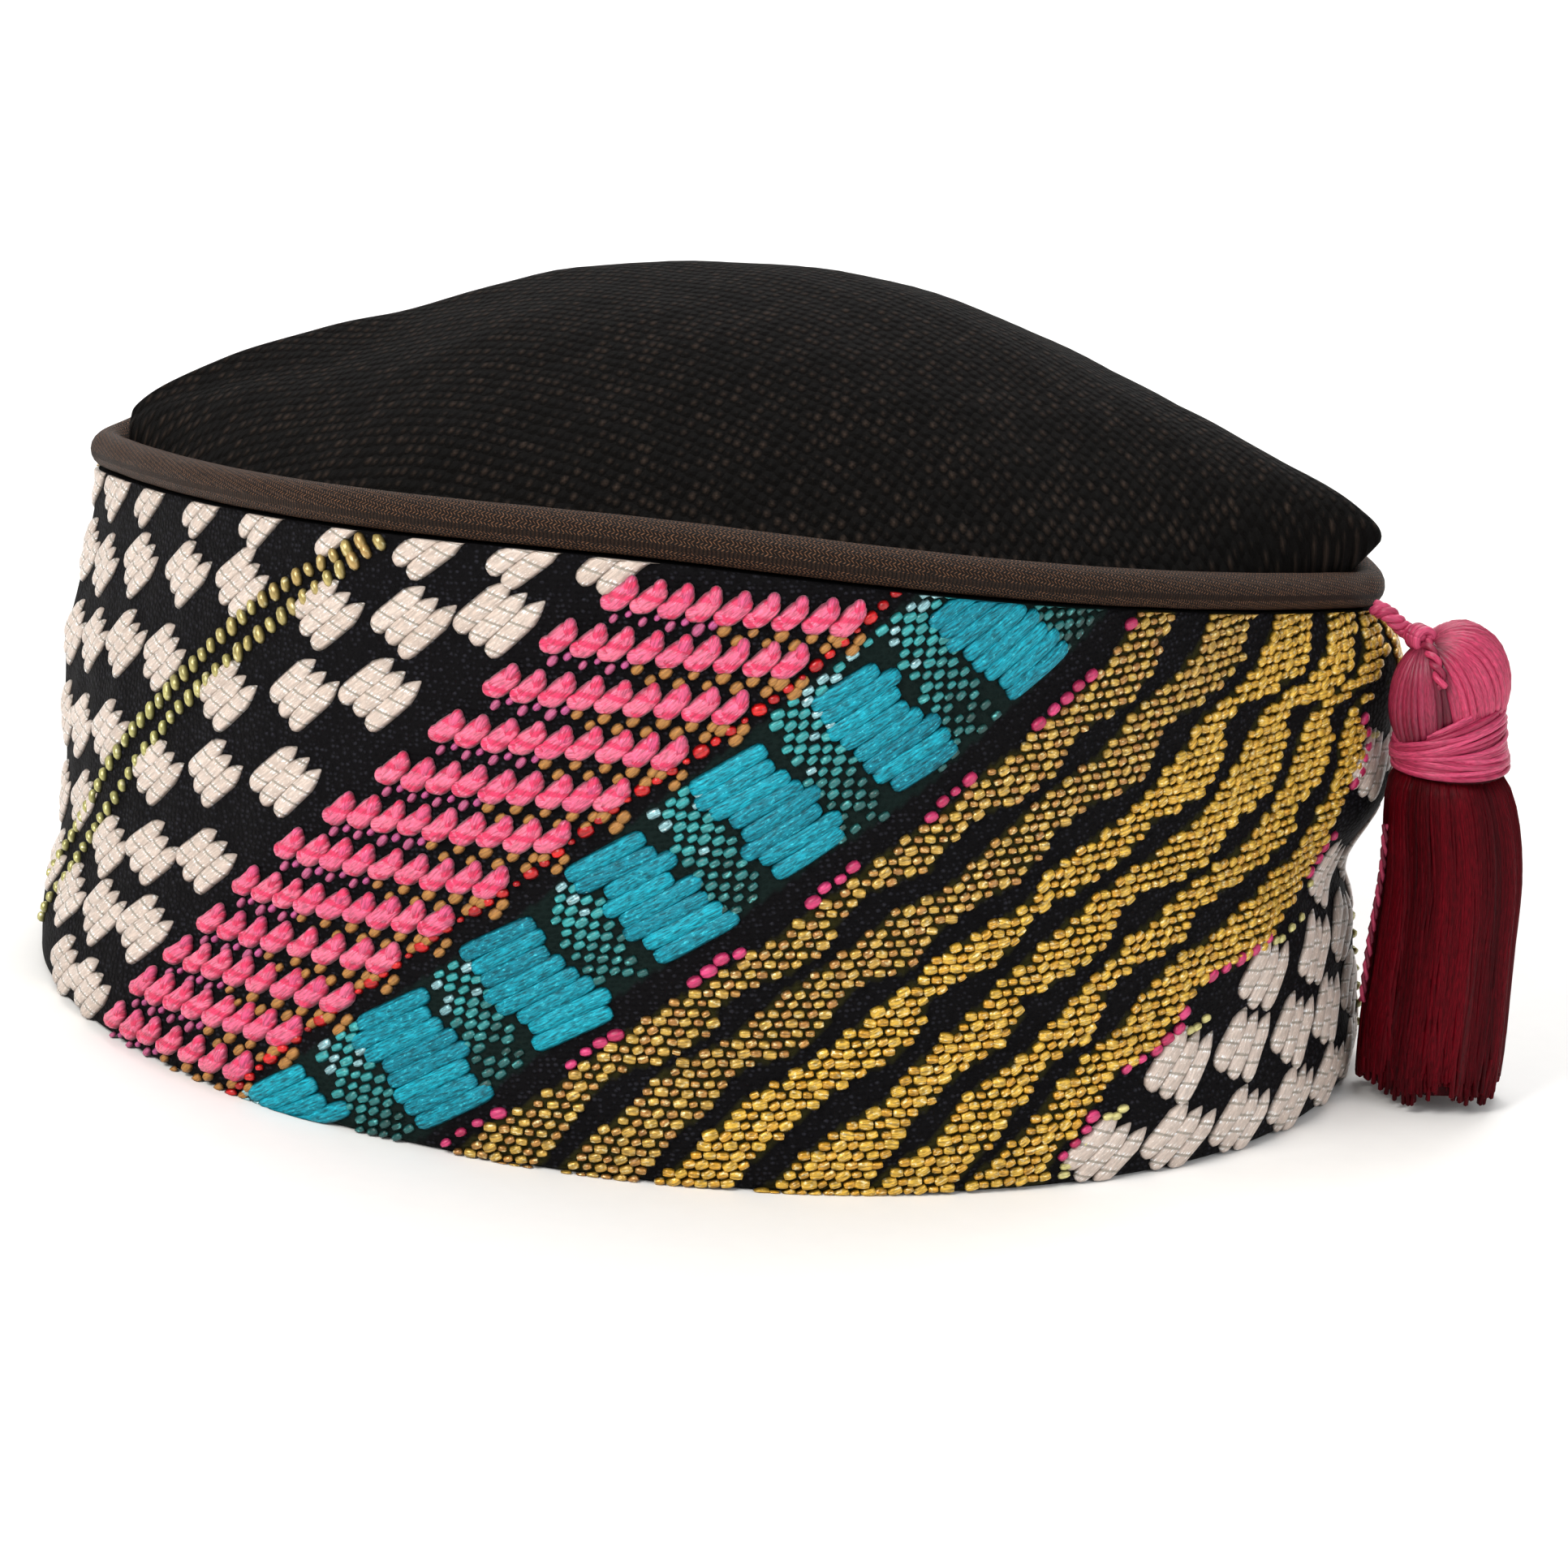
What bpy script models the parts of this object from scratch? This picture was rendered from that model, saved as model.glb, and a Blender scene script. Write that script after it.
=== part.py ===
"""Tubeteika skullcap with two corners, in metres, +Z up, standing on its rim.

The side band is an oval at the head opening and a pointed lens at the top. Piping runs round the
lens and arches up between its two corners, a domed crown fills it, and a tassel hangs from the
corner at +X by a short cord. The near side, with most of the pattern, faces -Y.
"""
import math

import bpy
import numpy as np
from mathutils import Vector

# Driving dimensions of the side band
BASE_HALF_LENGTH = 0.097
BASE_HALF_WIDTH = 0.083
TOP_HALF_LENGTH = 0.0935
TOP_HALF_WIDTH = 0.076
LENS_FULLNESS = 2.4
CORNER_RADIUS = 0.005
CORNER_HEIGHT = 0.0717
MIDDLE_HEIGHT = 0.087
BAND_WALL = 0.0026
HEM_ROLL = 0.0013
HEM_HEIGHT = 0.007
FOLD_DEPTH = 0.005
SEAM_HOLD = 16

# Driving dimensions of the piping and the crown
PIPING_RADIUS = 0.0026
CROWN_RISE = 0.020
CROWN_FULLNESS = 4
CROWN_OVERHANG = 0.006
CROWN_WALL = 0.002
CROWN_DENT = 0.002
SEAM_GAP = 0.0003

# Driving dimensions of the tassel and its cord
CORD_RADIUS = 0.0013
CORD_REACH = 0.0024
CORD_DROP = 0.0016
CORD_START = 0.006
CORD_START_ANGLE = math.radians(25)
TASSEL_SIDE = 0.009
HEAD_RADIUS = 0.0074
HEAD_LENGTH = 0.0100
NECK_RADIUS = 0.0060
WRAP_RADIUS = 0.0084
WRAP_LENGTH = 0.0090
WRAP_TILT = math.radians(12)
SKIRT_RADIUS = 0.0114
SKIRT_CLEARANCE = 0.0003
FLOOR_CLEARANCE = 0.001
LOCK_DEPTH = 0.0010
LOCK_RAGGED = 0.003
LOCK_COUNT = 12

# Mesh fineness
ROUND_STEPS = 88
BAND_ROWS_OUTSIDE = 13
BAND_ROWS_INSIDE = 6
CROWN_STATIONS = 34
CROWN_COLUMNS = 14
PIPING_STEPS = 96
STEPS_PER_LOCK = 4
WRAP_STEPS = 24
OUTLINE_SAMPLES = 2880
CORNER_CROWDING = 0.62
CROWN_CROWDING = 0.90
EDGE_CROWDING = 0.09

# Folds of the band: centre as shares of the way round and of the height, depth as a share of
# FOLD_DEPTH, half width and half height as the same shares, and how the fold slants as it runs
FOLDS = [
    # around, up, depth, half_width, half_height, slant
    (0.000, 0.90, 1.00, 0.045, 0.22, 0.0),
    (0.000, 0.62, 0.60, 0.040, 0.10, 0.0),
    (0.000, 0.45, -0.50, 0.045, 0.09, 0.0),
    (0.500, 0.60, 0.45, 0.060, 0.20, 0.0),
    (0.130, 0.55, 0.30, 0.050, 0.30, 1.5),
    (0.330, 0.50, -0.25, 0.050, 0.25, -1.2),
]

# Crown over its piping: place along the length from corner to corner, height as a share of
# CROWN_RISE over a round dome, and how far it bulges over the corner as a share of CROWN_OVERHANG
CROWN_PROFILE = [
    # along, height, overhang
    (-1.00, 0.80, 0.00),
    (-0.97, 0.74, -0.35),
    (-0.85, 0.68, -0.08),
    (-0.60, 0.67, 0.00),
    (-0.30, 0.87, 0.00),
    (0.00, 0.98, 0.00),
    (0.30, 0.98, 0.00),
    (0.60, 0.82, 0.00),
    (0.85, 0.89, 0.30),
    (0.94, 1.00, 0.95),
    (0.98, 1.15, 1.00),
    (0.995, 1.30, 0.15),
    (1.00, 1.35, 0.00),
]

# Soft ridges and dents of the crown: centre and half sizes as shares of the half length and the
# half width, height as a share of CROWN_DENT, and turn of the ridge in degrees
CROWN_DENTS = [
    # along, across, height, half_length, half_width, turn
    (-0.62, 0.10, 0.55, 0.42, 0.10, 14.0),
    (-0.70, -0.25, -0.60, 0.30, 0.16, 14.0),
    (0.45, 0.45, -0.50, 0.30, 0.22, -20.0),
]

# Tassel head from its top to the neck, and skirt from the neck to the ends
HEAD_PROFILE = [
    # down, radius
    (0.03, 0.42),
    (0.10, 0.68),
    (0.22, 0.87),
    (0.40, 0.98),
    (0.60, 1.00),
    (0.82, 0.93),
]
SKIRT_PROFILE = [
    # down, radius
    (0.05, 0.35),
    (0.14, 0.72),
    (0.32, 0.84),
    (0.60, 0.92),
    (0.85, 1.00),
    (1.00, 0.96),
]
CORD_SEAT = HEAD_PROFILE[2]


def remove_scene_objects():
    """Empty the scene of the objects that a new file starts with."""
    for item in list(bpy.data.objects):
        bpy.data.objects.remove(item, do_unlink=True)


def cloth_material(name, colour, roughness):
    """One plain material of the piece's own colour."""
    material = bpy.data.materials.new(name)
    material.use_nodes = True
    shader = material.node_tree.nodes["Principled BSDF"]
    shader.inputs["Base Color"].default_value = (*colour, 1.0)
    shader.inputs["Roughness"].default_value = roughness
    shader.inputs["Metallic"].default_value = 0.0
    return material


def smooth_table(rows, at, column=1):
    """Read one column of a table by its first column, along a smooth curve through the rows."""
    last = len(rows) - 1
    if at <= rows[0][0]:
        return rows[0][column]
    if at >= rows[last][0]:
        return rows[last][column]
    index = 0
    while at > rows[index + 1][0]:
        index += 1

    def slope(row):
        low, high = rows[max(row - 1, 0)], rows[min(row + 1, last)]
        return (high[column] - low[column]) / (high[0] - low[0])

    start, end = rows[index], rows[index + 1]
    width = end[0] - start[0]
    t = (at - start[0]) / width
    value = start[column] * (1 + 2 * t) * (1 - t) ** 2 + end[column] * (3 - 2 * t) * t ** 2
    return value + width * (slope(index) * t * (1 - t) ** 2 - slope(index + 1) * (1 - t) * t ** 2)


class Outline:
    """A closed plan outline, read by the share of its length counted from the corner at +X."""

    def __init__(self, points):
        self.points = np.concatenate([points, points[:1]])
        steps = np.hypot(*np.diff(self.points, axis=0).T)
        self.lengths = np.concatenate([[0.0], np.cumsum(steps)])
        self.total = self.lengths[-1]

    def at(self, share):
        """Plan point at a share of the outline."""
        length = (share % 1.0) * self.total
        x = np.interp(length, self.lengths, self.points[:, 0])
        y = np.interp(length, self.lengths, self.points[:, 1])
        return Vector((float(x), float(y)))

    def normal(self, share, reach=0.002):
        """Outward plan normal at a share of the outline."""
        along = self.at(share + reach) - self.at(share - reach)
        return Vector((along.y, -along.x)).normalized()


def oval_outline():
    """The head opening: an oval as wide as its two half sizes."""
    turns = np.linspace(0, 2 * math.pi, OUTLINE_SAMPLES, endpoint=False)
    return Outline(np.stack([BASE_HALF_LENGTH * np.cos(turns), BASE_HALF_WIDTH * np.sin(turns)], 1))


def lens_outline():
    """The top seam: two full curves that meet in a softly rounded corner at each end."""
    along = np.cos(np.linspace(0, math.pi, OUTLINE_SAMPLES // 2))
    across = TOP_HALF_WIDTH * (1 - np.abs(along) ** LENS_FULLNESS)
    far = np.stack([TOP_HALF_LENGTH * along, across], 1)
    near = np.stack([TOP_HALF_LENGTH * along[::-1], -across[::-1]], 1)[1:-1]
    sharp = Outline(np.concatenate([far, near]))
    cut = CORNER_RADIUS / sharp.total
    points = []
    for index in range(OUTLINE_SAMPLES):
        share = index / OUTLINE_SAMPLES
        corner = round(share * 2) / 2
        past = share - corner
        if abs(past) < cut:
            step = (past + cut) / (2 * cut)
            start = sharp.at(corner - cut)
            end = sharp.at(corner + cut)
            point = start * (1 - step) ** 2 + sharp.at(corner) * 2 * step * (1 - step) + end * step ** 2
        else:
            point = sharp.at(share)
        points.append(tuple(point))
    return Outline(np.array(points))


BASE = oval_outline()
TOP = lens_outline()


def crowded(share, strength=CORNER_CROWDING):
    """Even shares of the way round, drawn closer together near the two corners."""
    return share - strength / (4 * math.pi) * math.sin(4 * math.pi * share)


def seam_height(x):
    """Height of the piping's centre line, which arches up between the corners."""
    return CORNER_HEIGHT + (MIDDLE_HEIGHT - CORNER_HEIGHT) * (1 - (x / TOP_HALF_LENGTH) ** 2)


def fold_push(around, up):
    """How far the folds push the band outward at a place on it; the top seam holds it in."""
    push = 0.0
    for centre, level, depth, half_width, half_height, slant in FOLDS:
        side = (around - centre + 0.5) % 1.0 - 0.5
        rise = up - level - slant * side
        push += FOLD_DEPTH * depth * math.exp(-(side / half_width) ** 2 - (rise / half_height) ** 2)
    return push * (1 - up ** SEAM_HOLD)


def band_point(around, up, inset=0.0):
    """Point of the band's outer face, or of a face set in by the inset."""
    plan = BASE.at(around).lerp(TOP.at(around), up)
    outward = BASE.normal(around).lerp(TOP.normal(around), up).normalized()
    height = up * (seam_height(TOP.at(around).x) - PIPING_RADIUS - SEAM_GAP)
    hem = HEM_ROLL * math.exp(-((height - HEM_HEIGHT) / HEM_HEIGHT) ** 2)
    push = BAND_WALL / 2 * up + hem + fold_push(around, up) - inset
    plan = plan + outward * push
    return Vector((plan.x, plan.y, height))


def mesh_object(name, points, faces, material):
    """A smooth-shaded mesh object from points and faces."""
    mesh = bpy.data.meshes.new(name)
    mesh.from_pydata([tuple(point) for point in points], [], faces)
    mesh.materials.append(material)
    mesh.shade_smooth()
    item = bpy.data.objects.new(name, mesh)
    bpy.context.scene.collection.objects.link(item)
    return item


def tube_object(name, points, radius, cyclic, material):
    """A round cord along the points, its ends closed."""
    curve = bpy.data.curves.new(name, "CURVE")
    curve.dimensions = "3D"
    curve.twist_mode = "Z_UP"
    curve.bevel_depth = radius
    curve.bevel_resolution = 2
    curve.use_fill_caps = not cyclic
    spline = curve.splines.new("POLY")
    spline.points.add(len(points) - 1)
    for place, point in zip(spline.points, points):
        place.co = (*point, 1.0)
    spline.use_cyclic_u = cyclic
    spline.use_smooth = True
    curve.materials.append(material)
    item = bpy.data.objects.new(name, curve)
    bpy.context.scene.collection.objects.link(item)
    return item


def make_side_band():
    """The brocade wall: one closed section, repeated all the way round."""
    section = []
    for row in range(BAND_ROWS_OUTSIDE + 1):
        level = row / BAND_ROWS_OUTSIDE
        section.append((level - EDGE_CROWDING * math.sin(2 * math.pi * level), 0.0))
    for row in range(BAND_ROWS_INSIDE, -1, -1):
        section.append((row / BAND_ROWS_INSIDE, BAND_WALL))
    points = []
    for step in range(ROUND_STEPS):
        around = crowded(step / ROUND_STEPS)
        points += [band_point(around, up, inset) for up, inset in section]
    count = len(section)
    faces = []
    for step in range(ROUND_STEPS):
        here = step * count
        there = (step + 1) % ROUND_STEPS * count
        for index in range(count):
            after = (index + 1) % count
            faces.append((here + index, there + index, there + after, here + after))
    brocade = cloth_material("black brocade", (0.012, 0.012, 0.014), 0.85)
    return mesh_object("side_band", points, faces, brocade)


def make_piping():
    """The covered cord round the top seam."""
    points = []
    for step in range(PIPING_STEPS):
        plan = TOP.at(crowded(step / PIPING_STEPS))
        points.append(Vector((plan.x, plan.y, seam_height(plan.x))))
    twill = cloth_material("dark brown twill", (0.042, 0.024, 0.018), 0.8)
    return tube_object("piping", points, PIPING_RADIUS, True, twill)


def crown_rim(around):
    """Edge of the crown, tucked against the inner side of the piping."""
    plan = TOP.at(around)
    edge = plan - TOP.normal(around) * (PIPING_RADIUS + SEAM_GAP)
    return Vector((edge.x, edge.y, seam_height(plan.x)))


def dent_height(along, across):
    """Height that the crown's soft ridges and dents add."""
    height = 0.0
    for centre_along, centre_across, share, half_length, half_width, turn in CROWN_DENTS:
        angle = math.radians(turn)
        step_along = along - centre_along
        step_across = across - centre_across
        run = step_along * math.cos(angle) + step_across * math.sin(angle)
        side = step_across * math.cos(angle) - step_along * math.sin(angle)
        height += CROWN_DENT * share * math.exp(-(run / half_length) ** 2 - (side / half_width) ** 2)
    return height


def make_crown():
    """The domed top: a sheet from seam to seam, given its cloth thickness inward."""
    tip = crown_rim(0.0).x
    points = [crown_rim(0.0)]
    for station in range(1, CROWN_STATIONS):
        around = crowded(station / CROWN_STATIONS / 2, CROWN_CROWDING)
        far = crown_rim(around)
        near = crown_rim(-around)
        along = far.x / tip
        dome = math.sqrt(1 - abs(along) ** CROWN_FULLNESS)
        rise = CROWN_RISE * dome * smooth_table(CROWN_PROFILE, along)
        overhang = CROWN_OVERHANG * smooth_table(CROWN_PROFILE, along, 2)
        for column in range(CROWN_COLUMNS + 1):
            across = 2 * column / CROWN_COLUMNS - 1
            point = near.lerp(far, column / CROWN_COLUMNS)
            point.x += overhang * (1 - across ** 2)
            point.z += (rise + dent_height(along, across)) * (1 - across ** 2)
            points.append(point)
    points.append(crown_rim(0.5))
    row = CROWN_COLUMNS + 1
    last = len(points) - 1
    faces = []
    for column in range(CROWN_COLUMNS):
        faces.append((0, 1 + column + 1, 1 + column))
        end = 1 + (CROWN_STATIONS - 2) * row + column
        faces.append((last, end, end + 1))
    for station in range(CROWN_STATIONS - 2):
        for column in range(CROWN_COLUMNS):
            here = 1 + station * row + column
            faces.append((here, here + 1, here + row + 1, here + row))
    knit = cloth_material("black-brown knit", (0.012, 0.010, 0.009), 0.95)
    item = mesh_object("crown", points, faces, knit)
    wall = item.modifiers.new("wall", "SOLIDIFY")
    wall.thickness = CROWN_WALL
    wall.offset = -1.0
    return item


# Places on the tassel that follow from the sizes above
TASSEL_TOP = CORNER_HEIGHT - CORD_DROP
HEAD_X = TOP_HALF_LENGTH + PIPING_RADIUS + CORD_REACH + HEAD_RADIUS
HEM_X = BASE_HALF_LENGTH * math.sqrt(1 - (TASSEL_SIDE / BASE_HALF_WIDTH) ** 2) + HEM_ROLL
SKIRT_X = HEM_X + SKIRT_CLEARANCE + SKIRT_RADIUS
NECK_TOP = TASSEL_TOP - HEAD_LENGTH
NECK_LENGTH = WRAP_LENGTH + 2 * WRAP_RADIUS * math.tan(WRAP_TILT)
NECK_BOTTOM = NECK_TOP - NECK_LENGTH
SKIRT_LENGTH = NECK_BOTTOM - FLOOR_CLEARANCE


def tassel_centre(height):
    """Centre of the tassel at a height: the skirt hangs a little farther out than the head."""
    down = min(max((NECK_TOP - height) / (NECK_TOP - FLOOR_CLEARANCE) * 2, 0.0), 1.0)
    down = down * down * (3 - 2 * down)
    return Vector((HEAD_X + (SKIRT_X - HEAD_X) * down, -TASSEL_SIDE, height))


def make_tassel():
    """Head and skirt in one: twelve locks of thread fused to the head, with ragged ends."""
    rings = []
    for down, share in HEAD_PROFILE:
        rings.append((TASSEL_TOP - down * HEAD_LENGTH, share * HEAD_RADIUS, 0.0, 0.0))
    rings.append((NECK_TOP, NECK_RADIUS, 0.0, 0.0))
    rings.append((NECK_BOTTOM, NECK_RADIUS, 0.0, 0.0))
    for down, share in SKIRT_PROFILE:
        radius = NECK_RADIUS + (SKIRT_RADIUS - NECK_RADIUS) * share
        rings.append((NECK_BOTTOM - down * SKIRT_LENGTH, radius, math.sqrt(down), down ** 6))
    count = LOCK_COUNT * STEPS_PER_LOCK
    points = [tassel_centre(TASSEL_TOP)]
    for height, radius, lock, ragged in rings:
        for step in range(count):
            turn = 2 * math.pi * step / count
            groove = LOCK_DEPTH * lock * (0.5 + 0.5 * math.cos(LOCK_COUNT * turn))
            end = LOCK_RAGGED * ragged * (0.5 + 0.3 * math.sin(3 * turn) + 0.2 * math.cos(5 * turn))
            centre = tassel_centre(height)
            reach = radius - groove
            points.append(centre + Vector((reach * math.cos(turn), reach * math.sin(turn), end)))
    points.append(tassel_centre(FLOOR_CLEARANCE + LOCK_RAGGED))
    last = len(points) - 1
    faces = []
    for step in range(count):
        after = (step + 1) % count
        faces.append((0, 1 + step, 1 + after))
        for ring in range(len(rings) - 1):
            here = 1 + ring * count
            faces.append((here + step, here + count + step, here + count + after, here + after))
        here = 1 + (len(rings) - 1) * count
        faces.append((here + step, last, here + after))
    thread = cloth_material("crimson thread", (0.18, 0.008, 0.022), 0.6)
    return mesh_object("tassel", points, faces, thread)


def make_tassel_wrap():
    """The binding round the neck: a barrel-shaped ring that slants up to the far side."""
    inner = NECK_RADIUS + SEAM_GAP
    middle = (NECK_TOP + NECK_BOTTOM) / 2
    half = WRAP_LENGTH / 2
    section = [
        (inner, -half),
        (inner + (WRAP_RADIUS - inner) * 0.7, -half * 0.85),
        (WRAP_RADIUS, -half * 0.4),
        (WRAP_RADIUS, half * 0.4),
        (inner + (WRAP_RADIUS - inner) * 0.7, half * 0.85),
        (inner, half),
    ]
    points = []
    for step in range(WRAP_STEPS):
        turn = 2 * math.pi * step / WRAP_STEPS
        for radius, rise in section:
            side = Vector((radius * math.cos(turn), radius * math.sin(turn), rise))
            side.z += side.x * math.tan(WRAP_TILT)
            centre = tassel_centre(middle + rise)
            points.append(Vector((centre.x + side.x, centre.y + side.y, middle + side.z)))
    count = len(section)
    faces = []
    for step in range(WRAP_STEPS):
        here = step * count
        there = (step + 1) % WRAP_STEPS * count
        for index in range(count):
            after = (index + 1) % count
            faces.append((here + index, there + index, there + after, here + after))
    thread = cloth_material("rose binding thread", (0.32, 0.03, 0.08), 0.55)
    return mesh_object("tassel_wrap", points, faces, thread)


def make_tassel_cord():
    """The short cord that leaves the piping beside the corner and enters the head near its top."""
    around = -CORD_START / TOP.total
    corner = TOP.at(around)
    outward = TOP.normal(around)
    reach = PIPING_RADIUS + SEAM_GAP + CORD_RADIUS
    leave = corner + outward * reach * math.cos(CORD_START_ANGLE)
    start = Vector((leave.x, leave.y, seam_height(corner.x) - reach * math.sin(CORD_START_ANGLE)))
    head = tassel_centre(TASSEL_TOP - CORD_SEAT[0] * HEAD_LENGTH)
    toward = Vector((start.x - head.x, start.y - head.y, 0)).normalized()
    lean = (toward + Vector((0, 0, 0.5))).normalized()
    end = head + toward * CORD_SEAT[1] * HEAD_RADIUS + lean * SEAM_GAP * 1.5
    knee = end + lean * CORD_RADIUS
    bow = start.lerp(knee, 0.5) + Vector((0, -CORD_RADIUS, CORD_RADIUS)) * 0.5
    route = [start, bow, knee, end]
    points = []
    spans = len(route) - 1
    for span in range(spans):
        before = route[max(span - 1, 0)]
        first, second = route[span], route[span + 1]
        later = route[min(span + 2, spans)]
        for step in range(3):
            t = step / 3
            point = 0.5 * (2 * first + (second - before) * t
                           + (2 * before - 5 * first + 4 * second - later) * t ** 2
                           + (3 * first - before - 3 * second + later) * t ** 3)
            points.append(point)
    points.append(end)
    thread = cloth_material("crimson cord", (0.38, 0.03, 0.08), 0.5)
    return tube_object("tassel_cord", points, CORD_RADIUS, False, thread)


def stand_on_origin(items):
    """Move everything so that the middle of the bounding box's underside is the origin."""
    bpy.context.view_layer.update()
    graph = bpy.context.evaluated_depsgraph_get()
    corners = []
    for item in items:
        shape = item.evaluated_get(graph).to_mesh()
        corners += [vertex.co.copy() for vertex in shape.vertices]
    low = Vector([min(corner[axis] for corner in corners) for axis in range(3)])
    high = Vector([max(corner[axis] for corner in corners) for axis in range(3)])
    shift = Vector((-(low.x + high.x) / 2, -(low.y + high.y) / 2, -low.z))
    for item in items:
        item.location += shift


def main():
    remove_scene_objects()
    items = [
        make_side_band(),
        make_piping(),
        make_crown(),
        make_tassel(),
        make_tassel_wrap(),
        make_tassel_cord(),
    ]
    stand_on_origin(items)


main()
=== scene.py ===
"""Tubeteika skullcap: brocade band, twill piping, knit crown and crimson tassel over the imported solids."""
import math

import bpy
import numpy as np
from mathutils import Matrix, Vector


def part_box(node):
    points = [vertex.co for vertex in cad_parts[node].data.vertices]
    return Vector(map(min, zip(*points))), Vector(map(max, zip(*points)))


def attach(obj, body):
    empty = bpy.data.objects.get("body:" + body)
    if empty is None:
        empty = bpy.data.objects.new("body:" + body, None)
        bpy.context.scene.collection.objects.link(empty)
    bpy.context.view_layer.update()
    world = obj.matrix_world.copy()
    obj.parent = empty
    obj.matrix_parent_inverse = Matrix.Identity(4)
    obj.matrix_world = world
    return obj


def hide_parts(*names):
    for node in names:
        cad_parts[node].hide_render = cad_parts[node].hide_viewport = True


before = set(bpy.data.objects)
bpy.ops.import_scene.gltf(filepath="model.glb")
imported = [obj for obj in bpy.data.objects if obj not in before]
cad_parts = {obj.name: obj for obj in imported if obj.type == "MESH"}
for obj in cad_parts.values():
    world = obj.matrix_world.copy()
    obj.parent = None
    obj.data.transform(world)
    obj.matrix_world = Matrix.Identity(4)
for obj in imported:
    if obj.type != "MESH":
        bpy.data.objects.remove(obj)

bl_info = {
    "name": "Tubeteika Skullcap",
    "version": (1, 0, 0),
    "blender": (4, 5, 0),
    "location": "View3D > Sidebar > Skullcap",
    "description": "Makes a brocade skullcap with a knit crown, twill piping and a thread tassel",
    "category": "Add Mesh",
}

MM = 0.001

# Shape of the hat in millimetres, as the solids have it
BASE_HALF_LENGTH = 97.0
BASE_HALF_WIDTH = 83.0
TOP_HALF_LENGTH = 93.5
TOP_HALF_WIDTH = 76.0
LENS_FULLNESS = 2.4
CORNER_RADIUS = 5.0
CORNER_HEIGHT = 71.7
MIDDLE_HEIGHT = 87.0
BAND_WALL = 2.6
HEM_ROLL = 1.3
HEM_HEIGHT = 7.0
FOLD_DEPTH = 5.0
SEAM_HOLD = 16
PIPING_RADIUS = 2.6
SEAM_GAP = 0.3
CROWN_RISE = 20.0
CROWN_FULLNESS = 4
CROWN_OVERHANG = 6.0
CROWN_DENT = 2.0
CROWN_CROWDING = 0.90
OUTLINE_SAMPLES = 2880

# Folds of the band: place and half sizes as shares of the way round and of the height
FOLDS = [
    # around, up, depth, half_width, half_height, slant
    (0.000, 0.90, 1.00, 0.045, 0.22, 0.0),
    (0.000, 0.62, 0.60, 0.040, 0.10, 0.0),
    (0.000, 0.45, -0.50, 0.045, 0.09, 0.0),
    (0.500, 0.60, 0.45, 0.060, 0.20, 0.0),
    (0.130, 0.55, 0.30, 0.050, 0.30, 1.5),
    (0.330, 0.50, -0.25, 0.050, 0.25, -1.2),
]

# Crown along its length from corner to corner
CROWN_PROFILE = [
    # along, height, overhang
    (-1.00, 0.80, 0.00),
    (-0.97, 0.74, -0.35),
    (-0.85, 0.68, -0.08),
    (-0.60, 0.67, 0.00),
    (-0.30, 0.87, 0.00),
    (0.00, 0.98, 0.00),
    (0.30, 0.98, 0.00),
    (0.60, 0.82, 0.00),
    (0.85, 0.89, 0.30),
    (0.94, 1.00, 0.95),
    (0.98, 1.15, 1.00),
    (0.995, 1.30, 0.15),
    (1.00, 1.35, 0.00),
]
CROWN_DENTS = [
    # along, across, height, half_length, half_width, turn
    (-0.62, 0.10, 0.55, 0.42, 0.10, 14.0),
    (-0.70, -0.25, -0.60, 0.30, 0.16, 14.0),
    (0.45, 0.45, -0.50, 0.30, 0.22, -20.0),
]

# Tassel, in the plan of the hat's own centre
TASSEL_SIDE = 9.0
TASSEL_TOP = 70.1
HEAD_RADIUS = 7.4
HEAD_LENGTH = 10.0
NECK_RADIUS = 6.0
NECK_TOP = 60.1
CORD_RADIUS = 1.3
CORD_REACH = 2.4
CORD_START = 6.0
CORD_START_ANGLE = math.radians(25)
# Where the cord enters the head: shares of the head's length and radius
CORD_SEAT = (0.22, 0.87)
WRAP_RADIUS = 8.4
WRAP_LENGTH = 9.0
WRAP_TILT = math.radians(12)
NECK_LENGTH = WRAP_LENGTH + 2 * WRAP_RADIUS * math.tan(WRAP_TILT)
NECK_BOTTOM = NECK_TOP - NECK_LENGTH
SKIRT_RADIUS = 11.4
SKIRT_CLEARANCE = 0.3
FLOOR_CLEARANCE = 1.0
HEAD_X = TOP_HALF_LENGTH + PIPING_RADIUS + CORD_REACH + HEAD_RADIUS
HEM_X = BASE_HALF_LENGTH * math.sqrt(1 - (TASSEL_SIDE / BASE_HALF_WIDTH) ** 2) + HEM_ROLL
SKIRT_X = HEM_X + SKIRT_CLEARANCE + SKIRT_RADIUS
# Share of the way down the skirt, share of its radius beyond the neck's
SKIRT_PROFILE = [
    (0.00, 0.34), (0.05, 0.60), (0.14, 0.77), (0.32, 0.86), (0.60, 0.92), (0.85, 1.00), (1.00, 0.96),
]

# The cloth's pattern repeats this far round the band, and is cut at the seam at the far side
REPEAT = 249.0


def linear(code):
    """Turn an sRGB hex colour to the linear red, green and blue that the shaders take."""
    channels = [int(code[at:at + 2], 16) / 255 for at in (1, 3, 5)]
    return [c / 12.92 if c <= 0.04045 else ((c + 0.055) / 1.055) ** 2.4 for c in channels]


def hat_centre():
    """Plan centre of the hat in the part's frame, in millimetres, from the piping's box."""
    low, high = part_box("piping")
    return np.array([(low[0] + high[0]) / 2 / MM, (low[1] + high[1]) / 2 / MM, 0.0])


CENTRE = hat_centre()


# Outlines and surfaces of the hat

def unit(vectors):
    """Vectors scaled to a length of one."""
    return vectors / np.linalg.norm(vectors, axis=-1, keepdims=True)


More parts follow.
